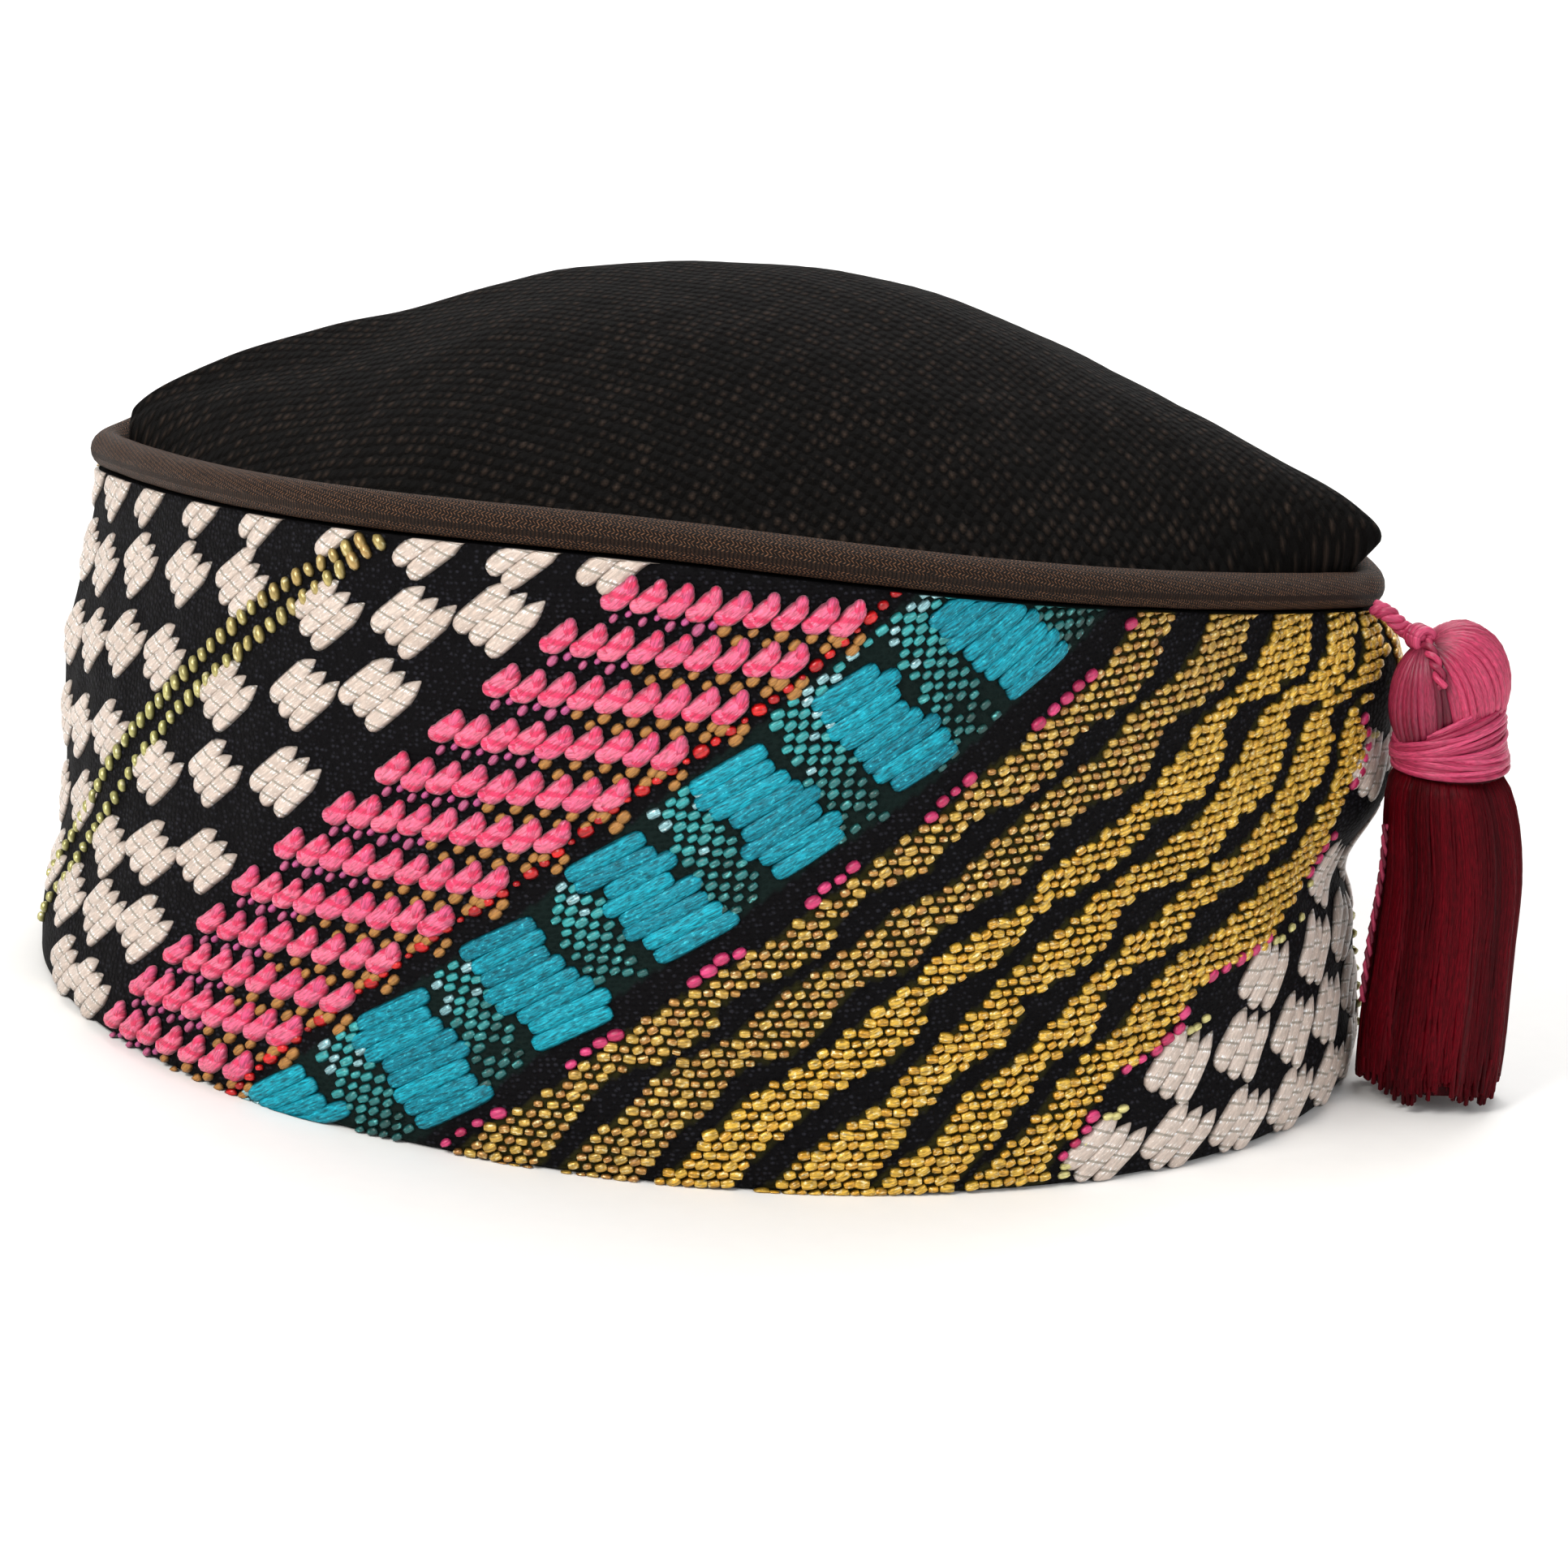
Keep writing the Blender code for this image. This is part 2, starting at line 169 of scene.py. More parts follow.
def close_outline(points):
    """A closed plan outline with its running length, read by outline_at."""
    points = np.concatenate([points, points[:1]])
    lengths = np.concatenate([[0.0], np.cumsum(np.hypot(*np.diff(points, axis=0).T))])
    return points, lengths


def outline_at(outline, share):
    """Plan points of an outline at shares of its length, counted from the corner at +X."""
    points, lengths = outline
    length = (np.asarray(share) % 1.0) * lengths[-1]
    return np.stack([np.interp(length, lengths, points[:, axis]) for axis in (0, 1)], -1)


def outline_normal(outline, share, reach=0.002):
    """Outward plan normals of an outline at shares of its length."""
    along = outline_at(outline, np.asarray(share) + reach) - outline_at(outline, np.asarray(share) - reach)
    return unit(np.stack([along[..., 1], -along[..., 0]], -1))


def oval_outline():
    """The head opening."""
    turns = np.linspace(0, 2 * math.pi, OUTLINE_SAMPLES, endpoint=False)
    return close_outline(np.stack([BASE_HALF_LENGTH * np.cos(turns), BASE_HALF_WIDTH * np.sin(turns)], 1))


def lens_outline():
    """The top seam: two full curves that meet in a softly rounded corner at each end."""
    along = np.cos(np.linspace(0, math.pi, OUTLINE_SAMPLES // 2))
    across = TOP_HALF_WIDTH * (1 - np.abs(along) ** LENS_FULLNESS)
    far = np.stack([TOP_HALF_LENGTH * along, across], 1)
    near = np.stack([TOP_HALF_LENGTH * along[::-1], -across[::-1]], 1)[1:-1]
    sharp = close_outline(np.concatenate([far, near]))
    cut = CORNER_RADIUS / sharp[1][-1]
    share = np.arange(OUTLINE_SAMPLES) / OUTLINE_SAMPLES
    corner = np.round(share * 2) / 2
    step = np.clip((share - corner + cut) / (2 * cut), 0, 1)[:, None]
    bent = (outline_at(sharp, corner - cut) * (1 - step) ** 2
            + outline_at(sharp, corner) * 2 * step * (1 - step)
            + outline_at(sharp, corner + cut) * step ** 2)
    near_corner = (np.abs(share - corner) < cut)[:, None]
    return close_outline(np.where(near_corner, bent, outline_at(sharp, share)))


BASE = oval_outline()
TOP = lens_outline()
ROUND = (BASE[1][-1] + TOP[1][-1]) / 2


def seam_height(x):
    """Height of the piping's centre line, which arches up between the corners."""
    return CORNER_HEIGHT + (MIDDLE_HEIGHT - CORNER_HEIGHT) * (1 - (x / TOP_HALF_LENGTH) ** 2)


def band_edge(u):
    """Height of the band's top edge, just under the piping, at a distance round the band."""
    return seam_height(outline_at(TOP, u / ROUND)[..., 0]) - PIPING_RADIUS - SEAM_GAP


def fold_push(around, up):
    """How far the folds push the band outward."""
    push = np.zeros_like(up)
    for centre, level, depth, half_width, half_height, slant in FOLDS:
        side = (around - centre + 0.5) % 1.0 - 0.5
        rise = up - level - slant * side
        push += FOLD_DEPTH * depth * np.exp(-(side / half_width) ** 2 - (rise / half_height) ** 2)
    return push * (1 - up ** SEAM_HOLD)


def cloth_play(around, height):
    """Small unevenness of the sewn cloth: slack between its stitches, in millimetres."""
    turn = 2 * math.pi * around
    slow = 0.35 * np.sin(9 * turn + 0.05 * height) * np.sin(0.075 * height + 5 * np.sin(2 * turn))
    fine = 0.10 * np.sin(53 * turn + 0.16 * height) + 0.08 * np.sin(0.42 * height - 31 * turn)
    return slow + fine


def band_face(u, z, inset=0.0):
    """Points of the band's outer face at distances round it and heights, in millimetres."""
    around = u / ROUND
    plan_top = outline_at(TOP, around)
    edge = seam_height(plan_top[..., 0]) - PIPING_RADIUS - SEAM_GAP
    up = np.clip(z / edge, 0, 1)
    mix = up[..., None]
    plan = outline_at(BASE, around) * (1 - mix) + plan_top * mix
    outward = unit(outline_normal(BASE, around) * (1 - mix) + outline_normal(TOP, around) * mix)
    hem = HEM_ROLL * np.exp(-((z - HEM_HEIGHT) / HEM_HEIGHT) ** 2)
    loose = np.sin(math.pi * up) ** 0.5
    push = BAND_WALL / 2 * up + hem + fold_push(around, up) + loose * cloth_play(around, z) - inset
    plan = plan + outward * push[..., None]
    return np.concatenate([plan, z[..., None]], -1) + CENTRE


def on_band(u, z, lift):
    """Points that stand off the band's face by the lift, along the cloth's own normal."""
    across = band_face(u + 0.4, z) - band_face(u - 0.4, z)
    upward = band_face(u, z + 0.4) - band_face(u, np.maximum(z - 0.4, 0))
    return band_face(u, z) + unit(np.cross(across, upward)) * lift[..., None]


def smooth_table(rows, at, column=1):
    """Read one column of a table by its first column, along a smooth curve through the rows."""
    rows = np.asarray(rows, float)
    keys = rows[:, 0]
    values = rows[:, column]
    at = np.clip(at, keys[0], keys[-1])
    index = np.clip(np.searchsorted(keys, at, side="right") - 1, 0, len(keys) - 2)
    low = np.maximum(np.arange(len(keys)) - 1, 0)
    high = np.minimum(np.arange(len(keys)) + 1, len(keys) - 1)
    slopes = (values[high] - values[low]) / (keys[high] - keys[low])
    width = keys[index + 1] - keys[index]
    t = (at - keys[index]) / width
    value = values[index] * (1 + 2 * t) * (1 - t) ** 2 + values[index + 1] * (3 - 2 * t) * t ** 2
    return value + width * (slopes[index] * t * (1 - t) ** 2 - slopes[index + 1] * (1 - t) * t ** 2)


def tassel_centre(height):
    """Centre line of the tassel: the skirt hangs a little farther out than the head."""
    down = np.clip((NECK_TOP - height) / (NECK_TOP - FLOOR_CLEARANCE) * 2, 0, 1)
    down = down * down * (3 - 2 * down)
    x = HEAD_X + (SKIRT_X - HEAD_X) * down
    return np.stack([x, np.full_like(x, -TASSEL_SIDE), height * np.ones_like(x)], -1) + CENTRE


# Meshes

def new_mesh(name, points, faces, material):
    """A smooth mesh object at the origin from points in millimetres."""
    mesh = bpy.data.meshes.new(name)
    mesh.from_pydata((np.asarray(points) * MM).tolist(), [], faces)
    mesh.materials.append(material)
    mesh.shade_smooth()
    item = bpy.data.objects.new(name, mesh)
    bpy.context.scene.collection.objects.link(item)
    return item


def give_uv(item, name, places):
    """Give a mesh a UV map from one place for each vertex."""
    mesh = item.data
    layer = mesh.uv_layers.new(name=name)
    corners = np.empty(len(mesh.loops), dtype=np.int32)
    mesh.loops.foreach_get("vertex_index", corners)
    layer.data.foreach_set("uv", np.asarray(places, np.float32)[corners].ravel())


def give_value(item, name, values):
    """Give a mesh one number for each vertex, for its material to read."""
    layer = item.data.attributes.new(name, "FLOAT", "POINT")
    layer.data.foreach_set("value", np.asarray(values, np.float32))


def grid_faces(rows, columns, wrap_rows=False, wrap_columns=False):
    """Quads of a grid of points stored row by row."""
    faces = []
    for row in range(rows if wrap_rows else rows - 1):
        below = row * columns
        above = (row + 1) % rows * columns
        for column in range(columns if wrap_columns else columns - 1):
            after = (column + 1) % columns
            faces.append((below + column, below + after, above + after, above + column))
    return faces


def capped_faces(rings, sides):
    """Faces of a closed float: its first point, its rings of points and its last point."""
    faces = []
    last = rings * sides + 1
    for side in range(sides):
        after = (side + 1) % sides
        faces.append((0, 1 + after, 1 + side))
        for here in range(1, last - sides, sides):
            faces.append((here + side, here + after, here + sides + after, here + sides + side))
        faces.append((last, last - sides + side, last - sides + after))
    return faces


def repeat_faces(faces, count, copies):
    """The faces of many copies of a shape that has count points."""
    return [tuple(copy * count + corner for corner in face) for copy in range(copies) for face in faces]


def spindle(stations, sides, roundness=0.5, fullness=3.0, point=0.0):
    """A closed float of thread one unit long, wide and high to each side, flat underneath.

    A larger fullness keeps it wide up to nearer its ends, and point tapers its upper end."""
    points = [(-1.0, 0.0, 0.0)]
    for station in range(1, stations):
        along = -math.cos(math.pi * station / stations)
        width = (1 - abs(along) ** fullness) ** roundness
        if along > 0.4:
            width *= 1 - point * ((along - 0.4) / 0.6) ** 1.4
        for side in range(sides):
            turn = 2 * math.pi * side / sides
            rise = math.sin(turn)
            points.append((along, width * math.cos(turn), width * (rise if rise > 0 else 0.25 * rise)))
    points.append((1.0, 0.0, 0.0))
    return np.array(points), capped_faces(stations - 1, sides)


def soft_limit(values, low, high, margin=0.25):
    """Keep values between two limits, closing up softly near them so that no face folds flat."""
    over = values - (high - margin)
    values = np.where(over > 0, high - margin * np.exp(-np.maximum(over, 0) / margin), values)
    under = (low + margin) - values
    return np.where(under > 0, low + margin * np.exp(-np.maximum(under, 0) / margin), values)


# The band's cloth is seamed in the middle of the far side
SEAM_START = 0.25 * ROUND
SEAM_END = 1.25 * ROUND


def lay_floats(name, floats, shape, material):
    """Lay one thread float on the band for each row of floats and join them in one mesh.

    A row holds u, z, angle, half length, half width, height, shade and bed, which lifts it."""
    floats = np.asarray(floats, float)
    u, z = floats[:, 0], floats[:, 1]
    kept = (u > SEAM_START + 0.3) & (u < SEAM_END - 0.3) & (z > -0.6) & (z < band_edge(u) + 0.8)
    floats = floats[kept]
    points, faces = shape
    u, z, angle, half_length, half_width, height, shade, bed = [column[:, None] for column in floats.T]
    along = points[None, :, 0] * half_length
    across = points[None, :, 1] * half_width
    u = u + along * np.cos(angle) - across * np.sin(angle)
    z = z + along * np.sin(angle) + across * np.cos(angle)
    u = soft_limit(u, SEAM_START + 0.1, SEAM_END - 0.1)
    z = soft_limit(z, 0.15, band_edge(u) - 0.05)
    places = on_band(u, z, points[None, :, 2] * height + bed)
    faces = repeat_faces(faces, len(points), len(floats))
    item = new_mesh(name, places.reshape(-1, 3), faces, material)
    slip = np.arange(len(floats))[:, None] * 7.31
    give_uv(item, "Thread", np.stack([(along + slip).ravel(), (across + slip).ravel()], 1))
    give_value(item, "shade", np.broadcast_to(shade, along.shape).ravel())
    # rise: how high each point stands; thread_material paints shade where it is low
    give_value(item, "rise", np.broadcast_to(np.clip(points[None, :, 2], 0, 1), along.shape).ravel())
    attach(item, "root")


def sweep_threads(name, paths, radii, sides, material, outward, shades=None):
    """Round threads along many paths of equal count, ends closed, joined in one mesh.

    The shades are one for each thread or one for each of its points."""
    paths = np.asarray(paths, float)
    count, steps = paths.shape[:2]

    def to_points(values):
        """Values along the paths given to all points: the first end, the rings and the last end."""
        return np.concatenate([values[:, :1], np.repeat(values, sides, 1), values[:, -1:]], 1)

    tangent = unit(np.gradient(paths, axis=1))
    side = unit(np.cross(tangent, outward))
    over = np.cross(side, tangent)
    turn = 2 * math.pi * np.arange(sides) / sides
    radii = np.broadcast_to(radii, (count, steps))
    ring = side[:, :, None] * np.cos(turn)[:, None] + over[:, :, None] * np.sin(turn)[:, None]
    rings = paths[:, :, None] + ring * radii[:, :, None, None]
    start = paths[:, :1] - tangent[:, :1] * radii[:, :1, None] * 0.7
    end = paths[:, -1:] + tangent[:, -1:] * radii[:, -1:, None] * 0.7
    points = np.concatenate([start, rings.reshape(count, steps * sides, 3), end], 1)
    faces = [(face[0], *reversed(face[1:])) for face in capped_faces(steps, sides)]
    faces = repeat_faces(faces, points.shape[1], count)
    item = new_mesh(name, points.reshape(-1, 3), faces, material)
    lengths = np.cumsum(np.linalg.norm(np.diff(paths, axis=1), axis=-1), 1)
    lengths = np.concatenate([np.zeros((count, 1)), lengths], 1)
    girth = 2 * math.pi * radii.mean() / sides
    round_place = np.concatenate([np.zeros(1), np.tile(np.arange(sides) * girth, steps), np.zeros(1)])
    slip = np.arange(count)[:, None] * 5.37
    places = [(to_points(lengths) + slip).ravel(), (round_place[None] + slip).ravel()]
    give_uv(item, "Thread", np.stack(places, 1))
    shade = np.arange(count) * 0.6180339 % 1.0 if shades is None else shades
    if shade.ndim == 1:
        shade = np.broadcast_to(shade[:, None], (count, steps))
    give_value(item, "shade", to_points(shade).ravel())
    # rise: the share along each thread; thread_material paints shade near its start
    give_value(item, "rise", to_points(lengths / lengths[:, -1:]).ravel())
    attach(item, "root")
    return item


# Materials

def add_node(tree, kind, inputs=None, output=0, **settings):
    """Add a node with its settings, link or set its inputs, and return one of its outputs."""
    node = tree.nodes.new("ShaderNode" + kind)
    for name, value in settings.items():
        setattr(node, name, value)
    for name, value in (inputs or {}).items():
        if isinstance(value, bpy.types.NodeSocket):
            tree.links.new(value, node.inputs[name])
        else:
            node.inputs[name].default_value = value
    return node.outputs[output]


def maths(tree, operation, *values):
    """Work on one to three numbers, each a value or a socket."""
    return add_node(tree, "Math", dict(enumerate(values)), operation=operation)


def noise(tree, place, scale, detail, roughness=0.5):
    """Cloudy variation over a place."""
    return add_node(tree, "TexNoise", {"Vector": place, "Scale": scale, "Detail": detail,
                                       "Roughness": roughness})


def remap(tree, value, low, high, at_low=0.0, at_high=1.0):
    """Stretch the values between two limits to run between two others."""
    return add_node(tree, "MapRange", {"Value": value, "From Min": low, "From Max": high,
                                       "To Min": at_low, "To Max": at_high})


def blend(tree, share, first, second):
    """Mix two colours, each a socket or linear channels."""
    first, second = [colour if isinstance(colour, bpy.types.NodeSocket) else (*colour, 1.0)
                     for colour in (first, second)]
    return add_node(tree, "MixRGB", {"Fac": share, "Color1": first, "Color2": second})


def attribute(tree, name):
    """Read the number that a mesh holds for each of its points."""
    return add_node(tree, "Attribute", output="Fac", attribute_name=name)


def new_material(name, roughness, **constants):
    """A material with its shader's constant values set on the shader itself."""
    material = bpy.data.materials.new(name)
    material.use_nodes = True
    tree = material.node_tree
    shader = tree.nodes["Principled BSDF"]
    shader.inputs["Roughness"].default_value = roughness
    for socket, value in constants.items():
        shader.inputs[socket.replace("_", " ")].default_value = value
    return material, tree, shader


def finish(tree, shader, colour, height, depth, strength=1.0):
    """Send a colour and a relief of the given depth in millimetres to the shader."""
    tree.links.new(colour, shader.inputs["Base Color"])
    bump = add_node(tree, "Bump", {"Height": height, "Strength": strength, "Distance": depth * MM})
    tree.links.new(bump, shader.inputs["Normal"])


def thread_material(name, light, dark, strand, roughness, contrast, depth, root=0.45,
                    patches=None, ribs=None, **constants):
    """Floss or yarn: fine fibres along the thread, with painted shade between them and near the cloth.

    strand is the width of one fibre bundle in millimetres, root the brightness of the painted shade at the
    cloth;
    patches gives a second colour, the size of its flecks and how much of the thread they take;
    ribs gives the distance, slant, painted shadow colour and breadth of the lines where stitches tie floats
    down across them, and the colour of the painted glints beside them."""
    material, tree, shader = new_material(name, roughness, **constants)
    uv = add_node(tree, "UVMap", uv_map="Thread")
    stretched = add_node(tree, "Mapping", {"Vector": uv, "Scale": (0.10 / strand, 0.55 / strand, 1.0)})
    fibres = noise(tree, stretched, 1.0, 3.0, 0.6)
    height = fibres
    base = blend(tree, attribute(tree, "shade"), light, dark)
    if patches:
        tint, size, share = patches
        spots = add_node(tree, "Mapping", {"Vector": uv, "Scale": (0.6 / size, 1.0 / size, 1.0)})
        spots = noise(tree, spots, 1.0, 2.0, 0.55)
        spots = remap(tree, spots, 0.68 - 0.36 * share, 0.80 - 0.36 * share)
        base = blend(tree, spots, base, tint)
    # painted shade: the colour darkens where the fibres' relief is low, between them
    painted_fibre_shade = remap(tree, fibres, 0.35, 0.65, 1.0 - contrast, 1.0 + contrast * 0.4)
    # painted shade: the colour darkens to root near the cloth, where rise is low
    under = remap(tree, attribute(tree, "rise"), 0.0, 0.7, root, 1.0)
    value = maths(tree, "MULTIPLY", painted_fibre_shade, under)
    if ribs:
        distance, slant, shadow, breadth, glint = ribs
        split = add_node(tree, "SeparateXYZ", {0: uv}).node.outputs
        at = maths(tree, "MULTIPLY_ADD", split[1], slant, split[0])
        at = maths(tree, "MULTIPLY_ADD", fibres, 0.35, at)
        at = maths(tree, "MULTIPLY", at, math.pi / distance)
        at = maths(tree, "ABSOLUTE", maths(tree, "SINE", at))
        full = remap(tree, at, breadth * 0.4, breadth)
        height = maths(tree, "MULTIPLY_ADD", full, 0.9, height)
        # painted shadow: the rib lines take the shadow colour
        base = blend(tree, full, shadow, base)
        # painted highlight: glints beside the ribs take the glint colour
        painted_glint = remap(tree, noise(tree, stretched, 1.6, 1.0), 0.54, 0.62)
        painted_glint = maths(tree, "MULTIPLY", painted_glint, remap(tree, at, 0.80, 0.50))
        painted_glint = maths(tree, "MULTIPLY", painted_glint, full)
        base = blend(tree, painted_glint, base, glint)
    colour = add_node(tree, "VectorMath", {0: base, "Scale": value}, operation="SCALE")
    finish(tree, shader, colour, height, depth, 0.9)
    return material


def raised_cells(tree, uv, turn, scale, randomness, low, high):
    """Uneven rows of raised spots: their height, and a brightness of each one's own."""
    turned = add_node(tree, "Mapping", {"Vector": uv, "Rotation": (0.0, 0.0, math.radians(turn)),
                                        "Scale": (*scale, 1.0)})
    cell = add_node(tree, "TexVoronoi", {"Vector": turned, "Scale": 1.0, "Randomness": randomness},
                    voronoi_dimensions="2D").node.outputs
    return remap(tree, cell["Distance"], low, high, 1.0, 0.0), cell["Color"]


def ground_material(colour):
    """Black cotton ground: short raised floats with small painted blue-grey highlights on them."""
    material, tree, shader = new_material("Black woven cotton ground", 0.75, Specular_IOR_Level=0.08)
    uv = add_node(tree, "UVMap", uv_map="Cloth")
    # the floats lie 0.95 mm apart in rows 0.74 mm apart that turn slowly to the right
    raised, own = raised_cells(tree, uv, -8, (1.05, 1.35), 0.70, 0.08, 0.55)
    height = maths(tree, "MULTIPLY", raised, noise(tree, uv, 3.6, 3.0, 0.65))
    # painted highlight: the raised floats take the given colour where they stand high
    painted_specks = remap(tree, maths(tree, "MULTIPLY", own, height), 0.12, 0.50)
    base = blend(tree, noise(tree, uv, 0.06, 2.0), linear("#040305"), linear("#080709"))
    base = blend(tree, painted_specks, base, colour)
    for name, tint in (("olive", "#26240c"), ("green", "#0d1a18")):
        base = blend(tree, attribute(tree, name), base, linear(tint))
    finish(tree, shader, base, height, 0.35)
    return material


def knit_material(colour):
    """Near-black fine knit: soft domed stitches, the raised side of some given a little painted highlight.
    """
    material, tree, shader = new_material("Black-brown fine knit wool", 0.85, Specular_IOR_Level=0.05)
    uv = add_node(tree, "UVMap", uv_map="Cloth")
    # the stitches lie 1.4 mm apart in slanting rows 2.2 mm apart
    domes, own = raised_cells(tree, uv, 18, (0.70, 0.46), 0.38, 0.05, 0.60)
    soft = noise(tree, uv, 2.2, 4.0, 0.7)
    height = maths(tree, "MULTIPLY_ADD", soft, 0.45, domes)
    own = maths(tree, "MULTIPLY", maths(tree, "MULTIPLY", own, domes), soft)
    base = blend(tree, noise(tree, uv, 0.045, 2.0), linear("#050403"), linear("#0a0807"))
    # painted highlight: the raised side of some stitches takes the stitch colour
    base = blend(tree, remap(tree, own, 0.12, 0.55), base, colour)
    finish(tree, shader, base, height, 0.9)
    return material


def twill_material(colour):
    """Dark brown bias twill: rows of fine dashes that lean by turns to each side; the raised dashes take the
    twill's colour and the hollows between are painted dark as shade.
    """
    material, tree, shader = new_material("Dark brown cotton twill", 0.6, Specular_IOR_Level=0.15)
    uv = add_node(tree, "UVMap", uv_map="Cloth")
    # rows of dashes lie 0.5 mm apart across the cord and the dashes 0.55 mm apart along it
    row, dash = 0.5, 0.55
    split = add_node(tree, "SeparateXYZ", {0: uv}).node.outputs
    across = maths(tree, "MULTIPLY_ADD", split[0], 0.18, split[1])
    slanted = maths(tree, "ADD", maths(tree, "PINGPONG", across, row), split[0])
    dashes = maths(tree, "SINE", maths(tree, "MULTIPLY", slanted, 2 * math.pi / dash))
    rows = maths(tree, "SINE", maths(tree, "MULTIPLY", across, math.pi / row))
    dashes = maths(tree, "MULTIPLY", dashes, maths(tree, "ABSOLUTE", rows))
    height = maths(tree, "MULTIPLY_ADD", dashes, 0.45, noise(tree, uv, 1.6, 3.0, 0.7))
    # painted shade: low parts of the relief blend to near black
    base = blend(tree, remap(tree, height, 0.56, 1.0), linear("#0e0704"), colour)
    finish(tree, shader, base, height, 0.20)
    return material


# Stage

def colour_setting(name, description, code):
    """A colour that the panel shows, with its sRGB hex code to start from."""
    return bpy.props.FloatVectorProperty(name=name, description=description, subtype="COLOR", size=3,
                                         min=0.0, max=1.0, default=linear(code))


class SkullcapStage(bpy.types.PropertyGroup):
    """Floor and camera."""
    floor_colour: colour_setting("Floor", "Colour of the pale floor", "#f4f3f1")
    camera_distance: bpy.props.FloatProperty(
        name="Camera distance", description="From the hat's centre on the floor to the camera",
        default=0.8, min=0.3, unit="LENGTH", subtype="DISTANCE")
    key_power: bpy.props.FloatProperty(
        name="Key light", description="Power of the large soft light at the upper left",
        default=13.0, min=0.0, unit="POWER")


# Camera fitted to the photograph: it looks down at the hat from a little left, rolled slightly
CAMERA_AIM = (-10.23, 0.0, 0.0)
CAMERA_RISE = math.radians(19.06)
CAMERA_TURN = math.radians(7.38)
CAMERA_ROLL = math.radians(4.54)
FOCAL_PIXELS = 6600.0
PHOTO_SIDE = 1932.0
PRINCIPAL_POINT = (861.5, 1212.6)


def make_camera(distance):
    """The camera at the photograph's viewing angle."""
    back = Vector((math.sin(CAMERA_TURN) * math.cos(CAMERA_RISE),
                   -math.cos(CAMERA_TURN) * math.cos(CAMERA_RISE), math.sin(CAMERA_RISE)))
    right = Vector((math.cos(CAMERA_TURN), math.sin(CAMERA_TURN), 0.0))
    up = back.cross(right)
    across = right * math.cos(CAMERA_ROLL) + up * math.sin(CAMERA_ROLL)
    upward = up * math.cos(CAMERA_ROLL) - right * math.sin(CAMERA_ROLL)
    data = bpy.data.cameras.new("camera")
    data.sensor_width = 36.0
    data.lens = 36.0 * FOCAL_PIXELS / PHOTO_SIDE
    data.shift_x = (PHOTO_SIDE / 2 - PRINCIPAL_POINT[0]) / PHOTO_SIDE
    data.shift_y = (PRINCIPAL_POINT[1] - PHOTO_SIDE / 2) / PHOTO_SIDE
    data.clip_end = 20.0
    camera = bpy.data.objects.new("camera", data)
    place = Vector(CAMERA_AIM) * MM + back * distance
    turned = Matrix((across, upward, back)).transposed()
    camera.matrix_world = Matrix.LocRotScale(place, turned, None)
    bpy.context.scene.collection.objects.link(camera)
    bpy.context.scene.camera = camera


def make_light(name, place, aim, size, power, colour):
    """A square soft light."""
    data = bpy.data.lights.new(name, "AREA")
    data.shape = "SQUARE"
    data.size = size
    data.energy = power
    data.color = colour
    light = bpy.data.objects.new(name, data)
    light.location = place
    light.rotation_euler = (Vector(aim) - Vector(place)).to_track_quat("-Z", "Y").to_euler()
    bpy.context.scene.collection.objects.link(light)


class SKULLCAP_OT_stage(bpy.types.Operator):
    """Add the pale floor, the soft lights and the camera"""
    bl_idname = "skullcap.stage"
    bl_label = "Stage"

    def execute(self, context):
        settings = context.scene.skullcap_stage
        floor_finish, tree, shader = new_material("Matt studio paper", 0.9)
        place = add_node(tree, "TexCoord", output="Object")
        shaded = [value * 0.97 for value in settings.floor_colour]
        tint = blend(tree, noise(tree, place, 220.0, 2.0), settings.floor_colour, shaded)
        tree.links.new(tint, shader.inputs["Base Color"])
        # A sweep of paper: flat under the hat, curving up far behind it
        run = np.linspace(-3.0, 5.0, 90)
        lift = np.where(run > 2.0, (run - 2.0) ** 2 * 0.35, 0.0)
        side = np.linspace(-4.0, 4.0, 2)
        points = [(x * 1000, y * 1000, z * 1000) for y, z in zip(run, lift) for x in side]
        floor = new_mesh("studio_floor", points, grid_faces(len(run), 2), floor_finish)
        world = bpy.data.worlds.new("studio")
        bpy.context.scene.world = world
        world.use_nodes = True
        background = world.node_tree.nodes["Background"].inputs
        background["Color"].default_value = (1.0, 1.0, 1.0, 1.0)
        background["Strength"].default_value = 0.36
        key = settings.key_power
        make_light("key", (-0.55, -0.75, 0.85), (0.0, 0.0, 0.04), 0.55, key, (1.0, 0.98, 0.95))
        make_light("fill", (0.9, -0.6, 0.45), (0.0, 0.0, 0.04), 0.8, key * 0.35, (0.95, 0.97, 1.0))
        make_light("top", (0.0, 0.35, 1.1), (0.0, 0.0, 0.05), 0.7, key * 0.35, (1.0, 1.0, 1.0))
        make_light("backdrop", (0.0, 1.9, 2.6), (0.0, 3.6, 0.3), 2.0, key * 9, (1.0, 1.0, 1.0))
        make_camera(settings.camera_distance)
        bpy.context.scene.view_settings.view_transform = "Standard"
        return {"FINISHED"}


# The cloth's chart: distances round the band from the corner at +X, and heights, in millimetres

